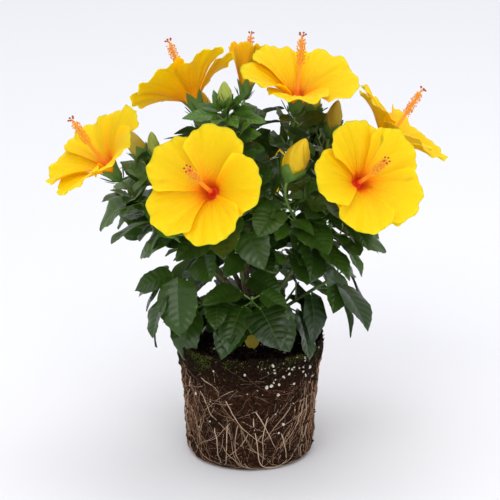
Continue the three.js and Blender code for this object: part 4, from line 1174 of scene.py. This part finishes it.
# For a large and a small leaf: its side veins, the rows between two of them and the points per half row.
SMALL_LEAF = 26
LARGE_GRID, SMALL_GRID = (7, 2, 5), (4, 1, 4)
# Upper tones from dark to light. Leaves inside the crown and low down take the dark ones as painted shade,
# and young leaves take the light ones.
LEAF_TOPS = ("#162808", "#20360A", "#2B440F", "#365313", "#446518", "#53781C")
LEAF_UNDERS = ("#3E5627", "#48622D", "#557135", "#6B883F")
VEIN_TONES = ("#304D1D", "#547532")
# The old leaf's upper side, under side and veins.
AILING = ("#AC9A2C", "#A08E30", "#BCA850")
FIRST_UNDER = len(LEAF_TOPS)
FIRST_VEIN = FIRST_UNDER + len(LEAF_UNDERS)
FIRST_AILING = FIRST_VEIN + len(VEIN_TONES)
# Painted shade: leaves within radius of the axis, over depth, and below height, over fall, step down by up to
# inside and low tones. Spray and leaf tones differ at random, and lifted and small young leaves are lighter.
LEAF_TONE_AND_PAINTED_SHADE = {
    "middle": 2.0, "spray": 0.6, "leaf": 0.4, "inside": 1.2, "low": 1.6, "lifted": 2.2, "small": 0.6,
    "radius": 78, "depth": 40, "height": 200, "fall": 50, "lifted_from": 0.7,
}


def two_sided(top, bottom):
    """One closed thin sheet from two grids of points that share their border: its points and faces."""
    rows, columns = top.shape[:2]
    upper = np.arange(rows * columns).reshape(rows, columns)
    lower = upper.copy()
    inner = (rows - 2) * (columns - 2)
    lower[1:-1, 1:-1] = rows * columns + np.arange(inner).reshape(rows - 2, columns - 2)
    points = np.concatenate([top.reshape(-1, 3), bottom[1:-1, 1:-1].reshape(-1, 3)])
    return points, quads(upper), quads(lower)[:, ::-1]


def facing(grid):
    """The unit normals of a grid of points."""
    down, across = np.gradient(grid, axis=0), np.gradient(grid, axis=1)
    found = np.cross(across, down)
    return found / np.maximum(np.linalg.norm(found, axis=-1, keepdims=True), 1e-9)


def blade_rows(length, veins, between):
    """The shares of a blade's length at which its rows lie, two to a vein, and how far each swells."""
    middles = np.linspace(BLADE["veins_from"], BLADE["veins_to"], veins)
    edge = BLADE["vein_width"] / 2 / length
    rows, swell = [0.0], [0.0]
    for at, following in zip(middles, [*middles[1:], 1.0]):
        rows += [at - edge, at + edge]
        swell += [0.0, 0.0]
        for k in range(1, between + 1):
            rows.append(lerp(at, following, k / (between + 1)))
            swell.append(1.0 if following < 1 else 0.3)
    return np.array([*rows, 1.0])[:, None], np.array([*swell, 0.0])[:, None]


def blade(pose, rng):
    """A leaf's blade as two grids of points, upper and lower, and which of its faces are veins."""
    length = pose["length"]
    veins, between, per_side = LARGE_GRID if length > SMALL_LEAF else SMALL_GRID
    rows, swell = blade_rows(length, veins, between)
    shortened = 1 - BLADE["shrink"] * min(length / LEAF["length"], 1)
    rib = BLADE["rib"] * (0.4 + length / 90) * (1 - 0.8 * rows)
    t = np.linspace(0, 1, per_side)[None, :] ** 0.85
    s = rows + BLADE["vein_slant"] * t * np.sin(math.pi * rows)

    # Round at the foot, broadest a third of the way up, and drawn out to a point.
    half = 2.2 * np.clip(s, 1e-6, 1) ** 0.42 * np.clip(1 - s, 0, 1) ** 0.74
    pointed = 1 - 0.2 * np.clip((s - 0.8) / 0.2, 0, 1)
    half *= pointed * length * pose["width"] / 2 * rng.uniform(*BLADE["girths"])
    is_vein = swell == 0
    tooth = np.where(is_vein, *BLADE["teeth"]) * np.ones_like(t)
    has_teeth = (t > 0.99) & (rows > 0.2) & (rows < 0.99)
    half = np.maximum(np.where(has_teeth, half * tooth, half), BLADE["least_half"])
    across = lerp(np.minimum(rib, half * 0.6), half, t)
    side = np.concatenate([-np.ones(per_side), np.ones(per_side)])[None, :]
    mirrored = [np.concatenate([grid[:, ::-1], grid], 1) for grid in (t * np.ones_like(s), s, across)]
    t, s, across = mirrored

    lobes = BLADE["lobes"] * t**2 * (1 - s) ** 8
    pucker = BLADE["pucker"] * length * swell * np.clip(1.2 - t, 0, 1) * np.clip(4 * t, 0, 1)
    beat = rng.uniform(*BLADE["beats"])
    wave = BLADE["wave"] * length * np.sin(2 * math.pi * (beat * s + rng.random()) + 1.3 * side) * t**2
    fold = LEAF["fold"] * across * (1 - 0.5 * t)
    rise = fold + pucker + wave - LEAF["curl"] * rng.uniform(*BLADE["curls"]) * length * s**2
    bend = rng.normal(0, BLADE["bend"]) * length * s**2
    grid = (
        pose["base"]
        + pose["forward"] * ((s - lobes) * length * shortened)[..., None]
        + pose["left"] * (across * side + bend)[..., None]
        + pose["face"] * rise[..., None]
    )
    normal = facing(grid)
    normal *= np.sign((normal @ pose["face"]).mean())
    columns = 2 * per_side - 1
    vein_faces = np.repeat((is_vein[:-1, 0] & is_vein[1:, 0]) & (rows[:-1, 0] > 0), columns)
    rib_faces = np.tile(np.arange(columns) == per_side - 1, len(rows) - 1)
    return grid, grid - normal * BLADE["thickness"], vein_faces | rib_faces


def leaf_skin(pose, spray_tone, rng):
    """A leaf's place in the row of upper tones: painted shade makes it dark inside and low down, and it is
    light where it is young.
    """
    # Painted shade: darker towards the plant's axis and lower down.
    inside = np.clip((LEAF_TONE_AND_PAINTED_SHADE["radius"] - math.hypot(*pose["base"][:2])) / LEAF_TONE_AND_PAINTED_SHADE["depth"], 0, 1)
    low = np.clip((LEAF_TONE_AND_PAINTED_SHADE["height"] - pose["base"][2]) / LEAF_TONE_AND_PAINTED_SHADE["fall"], 0, 1)
    lifted = LEAF_TONE_AND_PAINTED_SHADE["lifted"] * max(pose["lift"] - LEAF_TONE_AND_PAINTED_SHADE["lifted_from"], 0)
    small = LEAF_TONE_AND_PAINTED_SHADE["small"] * (1 - pose["length"] / LEAF["length"])
    youth_and_painted_shade = LEAF_TONE_AND_PAINTED_SHADE["middle"] - max(LEAF_TONE_AND_PAINTED_SHADE["inside"] * inside, LEAF_TONE_AND_PAINTED_SHADE["low"] * low) + lifted + small
    top_skin = int(np.clip(round(youth_and_painted_shade + spray_tone + rng.normal(0, LEAF_TONE_AND_PAINTED_SHADE["leaf"])), 0, len(LEAF_TOPS) - 1))
    return int(rng.integers(3, 5)) if pose["width"] < LEAF["width_ratio"] else top_skin


# Waxed leaf: the upper skin is deep green under a thin wax, which gives a soft, broad gloss. The under
# side and the veins are paler and dull. A little light passes into a blade, and comes out yellow green.
leaf_skins = shades(
    "waxed leaf", LEAF_TOPS, 0.3, Specular_IOR_Level=0.32,
    Subsurface_Weight=0.08, Subsurface_Radius=(0.5, 1.0, 0.15), Subsurface_Scale=0.8 * MM,
)
dull_tones = LEAF_UNDERS + VEIN_TONES + AILING
leaf_skins += shades("leaf underside or vein", dull_tones, 0.6, Specular_IOR_Level=0.3)

for mass in masses:
    rng = np.random.default_rng(100 + mass.owner)
    spray_tones = {}
    heap = Heap()
    for pose in mass.leaves:
        top, bottom, is_vein = blade(pose, rng)
        spray_tone = spray_tones.setdefault(pose["spray"], rng.normal(0, LEAF_TONE_AND_PAINTED_SHADE["spray"]))
        top_skin = leaf_skin(pose, spray_tone, rng)
        # The under side and the veins follow the upper tone, with its painted shade.
        under_skin = FIRST_UNDER + min(top_skin * len(LEAF_UNDERS) // len(LEAF_TOPS), 3)
        vein_skin = FIRST_VEIN + (top_skin > 3)
        if pose is oldest:
            top_skin, under_skin, vein_skin = FIRST_AILING, FIRST_AILING + 1, FIRST_AILING + 2
        top_skins, under_skins = (np.where(is_vein, vein_skin, skin) for skin in (top_skin, under_skin))
        heap.add(two_sided(top, bottom), top_skins, under_skins)
    heap.make_piece(f"leaves_{mass.name}", leaf_skins, f"mass_{mass.name}")

# Calyx: under each bloom and bud five green sepals join as a cup, with a ring of narrow bracts round
# its foot. The sepals' points stand a little away from the petals.
FIFTH_TURN, SEVENTH_TURN = 1.2566, 0.8976
SEPAL = {"first": 0.3, "foot": -2, "width": 5.6, "thickness": 0.7}
# Radii at distances along the axis, round a bloom's tube and round a bud.
BLOOM_SEPALS = ([-2, 3, 9, 13, 20, 24], [1.8, 5.5, 6.6, 8.0, 10.9, 13.4])
BUD_SEPALS = ([-2, 4, 12, 18, 24], [1.8, 5.9, 8.5, 9.3, 10.4])
BRACT = {
    "width": 1.15, "thickness": 0.45, "length": 11, "length_spread": 2.5, "reach": 12.0, "reach_spread": 1.5,
}
CALYX_ROWS = 10


def sheet_round(end, centre, along, radius, width, thickness, columns=7):
    """A thin sheet bent round an end's axis: rows of distances, radii and half widths in mm."""
    v = np.linspace(-1, 1, columns)
    angles = centre + v * (width / radius)[:, None]
    girth = end["girth"]
    grid = round_axis(end, angles, along[:, None], radius[:, None] * girth)
    inner = round_axis(end, angles, along[:, None], radius[:, None] * girth - thickness)
    return two_sided(grid, inner)


def calyx(heap, end, skin, length):
    """Five sepals and seven bracts."""
    s = np.linspace(0, 1, CALYX_ROWS)
    along = lerp(SEPAL["foot"], length, s)
    radius = np.interp(along, *(BLOOM_SEPALS if end["kind"] in PETAL_ROWS else BUD_SEPALS))
    narrowing = np.minimum(1, 2.0 * (1 - s) ** 0.85)
    width = SEPAL["width"] * narrowing * np.minimum(1, 0.42 + 2.2 * s) + 0.05
    for k in range(5):
        centre = k * FIFTH_TURN + SEPAL["first"]
        heap.add(sheet_round(end, centre, along, radius, width, SEPAL["thickness"]), skin)
    width = BRACT["width"] * np.sin(math.pi * (0.12 + 0.86 * s)) ** 0.8
    for k in range(7):
        along = lerp(SEPAL["foot"], BRACT["length"] + BRACT["length_spread"] * math.sin(3.1 * k), s)
        reach = BRACT["reach"] + BRACT["reach_spread"] * math.sin(2.3 * k)
        radius = np.interp(s, [0, 0.25, 1], [2.2, 6.6, reach])
        heap.add(sheet_round(end, k * SEVENTH_TURN, along, radius, width, BRACT["thickness"], 5), skin + 1)


# Buds: five furled petals wound round each other in a pointed spindle that pushes out of the calyx,
# green while it is small, and yellow and thick before it opens.
BUD = {
    "rows": 34, "sides": 60, "from": 6, "to": 40.5, "winding": 1.5, "step": 1.15, "edge": 0.86,
    "edge_skin_from": 0.8, "foot_skin_to": 0.22,
}
BUD_BODY = ([4, 10, 16, 24, 31, 36, 39, 40.5], [5.4, 7.0, 7.5, 6.9, 5.1, 3.2, 1.6, 0.15])


def bud(heap, end, first_skin):
    """A spindle with a step where each petal's edge lies on the next, and three skins as in BUD_TONES."""
    s = np.linspace(0, 1, BUD["rows"])[:, None]
    around = np.linspace(0, 2 * math.pi, BUD["sides"], endpoint=False)[None, :]
    along = lerp(BUD["from"], BUD["to"], s)
    wound = (around * PETALS / (2 * math.pi) + BUD["winding"] * s) % 1
    lap = np.minimum(1, 3 * (1 - s)) * np.minimum(1, 4 * s + 0.3)
    edge = np.minimum(wound / BUD["edge"], (1 - wound) / 0.14)
    step = BUD["step"] * lap * (edge - 0.5)
    grid = round_axis(end, around, along, (np.interp(along, *BUD_BODY) + step) * end["girth"])
    index = np.arange(grid.shape[0] * grid.shape[1]).reshape(grid.shape[:2])
    is_edge = wound[:-1] > BUD["edge_skin_from"]
    is_foot = (s[:-1] < BUD["foot_skin_to"]) & ~is_edge
    skin = np.where(is_edge, 1, 0) + np.where(is_foot, 2, 0)
    heap.add((grid.reshape(-1, 3), quads(index, closed=True)[:, ::-1]), first_skin + skin.ravel())


# Blooms: five broad petals, each with one edge over the next one's, thin as silk with fine ribs and a
# ruffled margin. They are clear yellow and turn orange, then red, where they narrow into the throat.
PETAL_TONES = (
    # out to this radius in mm, for a bloom of full size, the petal's upper side has this tone
    (5.3, "#EA5614"),
    (6.5, "#EE6610"),
    (7.8, "#F1740C"),
    (9, "#F48208"),
    (10.4, "#F68E04"),
    (12.2, "#F79902"),
    (14.5, "#F8A201"),
    (18, "#F8AA00"),
    (24, "#F8B100"),
    (34, "#F8B600"),
    (43, "#F8BA00"),
    (47.5, "#F9BE04"),
    # the palest tone, at the margin, is partly the petal's own and partly a painted highlight along its edge
    (99, "#FAC414"),
)
PETAL_BACKS = (
    (9, "#EE9208"),
    (12, "#F09808"),
    (15.5, "#F39D06"),
    (20, "#F6A304"),
    (25, "#F9A904"),
    (31, "#FBAE04"),
    (38, "#FDB304"),
    (99, "#FFB908"),
)
PETAL = {
    "rows": 28, "columns": 41, "thickness": 0.45, "half_angles": (40, 45), "lap": 2.9, "lean": 0.03,
    "furled_half_angle": 58, "furled_lap": 2.2, "furled_below": 30,
    "notch": 0.29, "crimp": 0.015, "crimp_beats": (14, 27), "second_crimp": 0.4, "shortness": 0.015,
    "hollow": 1.8, "crease": 0.5, "crease_width": 0.07, "rib": 0.13, "curled_back": 1.8, "curls_from": 0.86,
    "crinkle": 1.0, "crinkle_size": (0.13, 0.4), "streaks": (1.3, -0.6),
    # height in mm, beat across the petal, and how fast each wave grows towards the margin
    "ruffles": ((1.1, 4.6, 2.4), (1.5, 11, 5), (0.7, 23, 7)),
}


def funnel(rows_of, u):
    """Distances along a bloom's axis and radii at shares of the way from its throat to its margin."""
    stations = np.linspace(0, 1, len(rows_of))
    fine = np.linspace(-0.1, 1.1, 241)
    smooth = []
    for k in (0, 1):
        knots = np.array([row[k] for row in rows_of], float)
        line = np.interp(np.clip(fine, 0, 1), stations, knots)
        line += np.where(fine > 1, (fine - 1) * (knots[-1] - knots[-2]) * 3, 0)
        line += np.where(fine < 0, fine * (knots[1] - knots[0]) * 3, 0)
        line = np.convolve(line, np.ones(41) / 41, "same")
        smooth.append(np.interp(u, fine, line))
    return smooth


def petal(heap, end, rows_of, centre, rng, front_skin, back_skin):
    """One petal: u runs from its foot to its margin, and v from one edge to the other."""
    rows, columns = PETAL["rows"], PETAL["columns"]
    is_furled = rows_of[-1][1] < PETAL["furled_below"]
    narrow, wide = PETAL["half_angles"]
    u = np.linspace(0, 1, rows)[:, None]
    v = np.linspace(-1, 1, columns)[None, :]
    along, radius = funnel(rows_of, u)
    wide = math.radians(PETAL["furled_half_angle"] if is_furled else wide)
    half = lerp(math.radians(narrow), wide, np.clip(u * 2, 0, 1))
    lean = rng.normal(0, PETAL["lean"])
    notch = PETAL["notch"] * np.abs(v) ** 2.5 * u**2
    first, second = (np.sin(v * beat + rng.uniform(0, 6)) for beat in PETAL["crimp_beats"])
    waves = first + PETAL["second_crimp"] * second
    reach = radius * (1 - notch + PETAL["crimp"] * waves * u**6 - PETAL["shortness"] * rng.random())

    over = PETAL["furled_lap" if is_furled else "lap"] * v * np.sin(np.clip(u * 1.15, 0, 1) * math.pi / 2)
    starts = rng.uniform(0, 6, 3)
    broad, middling, small = (
        high * np.sin(v * beat + start) * u**growth
        for (high, beat, growth), start in zip(PETAL["ruffles"], starts)
    )
    margin = np.clip((u - PETAL["curls_from"]) / 0.14, 0, 1)
    ruffle = broad + middling + (small - PETAL["curled_back"] * margin**2)
    hollow = -PETAL["hollow"] * (1 - v**2) * np.sin(math.pi * u) * (not is_furled)
    crease = -PETAL["crease"] * np.exp(-((v / PETAL["crease_width"]) ** 2))
    crease = crease * np.sin(math.pi * np.clip(u * 1.1, 0, 1))
    ribs = PETAL["rib"] * np.cos(math.pi * np.arange(columns))[None, :] * np.clip(u * 3, 0, 1)
    across, down = PETAL["crinkle_size"]
    drawn_out = np.stack([v / across + 0 * u, u / down + 0 * v, 0 * u * v + 10 * starts[0]], -1)
    crinkle = lumps(drawn_out.reshape(-1, 3), 1).reshape(rows, columns)
    crinkle = PETAL["crinkle"] * crinkle * np.clip(u * 2 - 0.3, 0, 1)
    along = along + over + ruffle + hollow + crease + ribs + crinkle
    grid = round_axis(end, centre + lean + v * half, along, reach)
    normal = facing(grid)
    normal *= np.sign((normal @ end["axis"]).mean())

    streak = np.where(np.arange(columns - 1) % 4 < 2, *PETAL["streaks"])[None, :]
    streak = streak + rng.normal(0, 0.5, (rows - 1, columns - 1))
    depth = radius[:-1] - streak * np.clip(radius[:-1] / 14, 0.4, 1.6)
    zone = np.searchsorted([limit for limit, _ in PETAL_TONES], depth).ravel()
    back_zone = np.searchsorted([limit for limit, _ in PETAL_BACKS], depth).ravel()
    sheet = two_sided(grid, grid - normal * (PETAL["thickness"] * end["size"]))
    heap.add(sheet, front_skin + zone, back_skin + back_zone)


# Column: out of the throat stands a slender tube that carries some eighty stamens on its upper third
# and five styles with round dark red stigmas at its tip.
COLUMN = {
    "foot": 9.2, "stamens_from": 44.0, "stamens_to": 66.0, "tip": 68.0, "top": 73.0, "bend": 6.0,
    "stamens": 84, "filaments": (2.5, 4.1), "forwards": (0.1, 0.55), "filament": 0.17, "style": 0.3,
    "anther": [1.0, 0.7, 0.62], "stigma": [1.0, 1.0, 0.85], "styles_first": 0.4,
}
# Radii at distances along the axis: the tube's trumpet foot, its neck and its slender shaft.
TUBE_BODY = ([COLUMN["foot"], 9.9, 12.5, 30, COLUMN["tip"]], [4.8, 2.7, 2.2, 1.6, 1.15])
TUBE_SIDES = 12
GOLDEN_TURN = 2.39996
anther_shape = grain_shape(0)
stigma_shape = grain_shape(1)


def column(heap, end, rng, first_skin):
    """The tube in three tones from its foot, then filaments, anthers, styles and stigmas."""
    def at(along):
        bend = COLUMN["bend"] * (along / COLUMN["top"]) ** 2
        return end["base"] + (end["axis"] * along + end["upper"] * bend) * end["size"]

    size = end["size"]
    side = np.cross(end["axis"], end["upper"])
    heights = lerp(COLUMN["foot"], COLUMN["tip"], np.linspace(0, 1, 30) ** 1.5)
    path = np.array([at(h) for h in heights])
    radii = np.interp(heights, *TUBE_BODY) * size
    tone = np.clip(((heights[:-1] - 8) / 7).astype(int), 0, 2)
    tube = limb(path, radii, TUBE_SIDES)
    heap.add(tube, first_skin + np.repeat(tone, TUBE_SIDES), first_skin + 2)
    for k in range(COLUMN["stamens"]):
        foot = at(lerp(COLUMN["stamens_from"], COLUMN["stamens_to"], (k + 0.5) / COLUMN["stamens"]))
        turn = k * GOLDEN_TURN + rng.normal(0, 0.15)
        out = end["upper"] * math.cos(turn) + side * math.sin(turn)
        way = unit(out + end["axis"] * rng.uniform(*COLUMN["forwards"]))
        reach = rng.uniform(*COLUMN["filaments"]) * size
        filament = [foot, foot + way * reach * 0.5, foot + way * reach]
        heap.add(limb(filament, COLUMN["filament"] * size, 3), first_skin + 1)
        shape, sides = anther_shape
        turned = shape * COLUMN["anther"] @ np.linalg.qr(rng.normal(size=(3, 3)))[0]
        heap.add((foot + way * reach + turned * size, sides), first_skin + 3)
    for k in range(5):
        turn = k * FIFTH_TURN + COLUMN["styles_first"]
        start = at(COLUMN["tip"])
        out = end["upper"] * math.cos(turn) + side * math.sin(turn)
        tip = start + (end["axis"] * 3.6 + out * 2.7) * size
        style = [start, lerp(start, tip, 0.5) + end["axis"] * 0.6, tip]
        heap.add(limb(style, COLUMN["style"] * size, 5), first_skin + 1)
        shape, sides = stigma_shape
        heap.add((tip + shape * COLUMN["stigma"] * size, sides), first_skin + 4)


# Petals are matt and soft. They let light through, and it comes out warmer, from a millimetre or two
# inside them. The buds' petals do so less, and the fleshy column and the downy calyx not at all.
WARM_GLOW = {"Subsurface_Radius": (1.0, 0.75, 0.1), "Subsurface_Scale": 3 * MM}
COLUMN_TONES = ("#D84214", "#F08630", "#F0A02E", "#E8A41E", "#94401C")
CALYX_TONES = ("#587A30", "#47692B")
BUD_TONES = {
    # a bud's petals, their edges, and their foot
    "yellow": ("#D2AF12", "#CAA612", "#A3A424"),
    "olive": ("#AE9628", "#A58C24", "#7F8534"),
    "green": ("#94A044", "#8A973F", "#6C8838"),
}
petal_tones = [tone for _, tone in PETAL_TONES + PETAL_BACKS]
blossom_skins = shades(
    "petal", petal_tones, 0.6, Specular_IOR_Level=0.15, Subsurface_Weight=0.8, **WARM_GLOW
)
blossom_skins += shades("column", COLUMN_TONES, 0.5, Specular_IOR_Level=0.3)
blossom_skins += shades("calyx", CALYX_TONES, 0.6, Specular_IOR_Level=0.3)
for ripeness, tones in BUD_TONES.items():
    name = f"{ripeness} bud"
    blossom_skins += shades(name, tones, 0.55, Specular_IOR_Level=0.25, Subsurface_Weight=0.2, **WARM_GLOW)
FIRST_BACK = len(PETAL_TONES)
FIRST_COLUMN = len(petal_tones)
FIRST_CALYX = FIRST_COLUMN + len(COLUMN_TONES)
FIRST_BUD = FIRST_CALYX + len(CALYX_TONES)


def bud_skin(end):
    """Where a bud's three tones start: full-grown ones are yellow, half-grown ones olive, others green."""
    grown = end["size"] * end["girth"]
    return FIRST_BUD + (0 if grown > 1.1 else 3 if grown > 0.9 else 6)


for mass in masses:
    rng = np.random.default_rng(300 + mass.owner)
    heap = Heap()
    for end in mass.ends:
        if end["kind"] in PETAL_ROWS:
            for k in range(PETALS):
                centre = end["roll"] + k * 2 * math.pi / PETALS
                petal(heap, end, PETAL_ROWS[end["kind"]], centre, rng, 0, FIRST_BACK)
            column(heap, end, rng, FIRST_COLUMN)
            calyx(heap, end, FIRST_CALYX, 20)
        elif end["kind"] != "tuft":
            bud(heap, end, bud_skin(end))
            calyx(heap, end, FIRST_CALYX, 19)
    if heap.count:
        heap.make_piece(f"blossom_{mass.name}", blossom_skins, f"mass_{mass.name}")
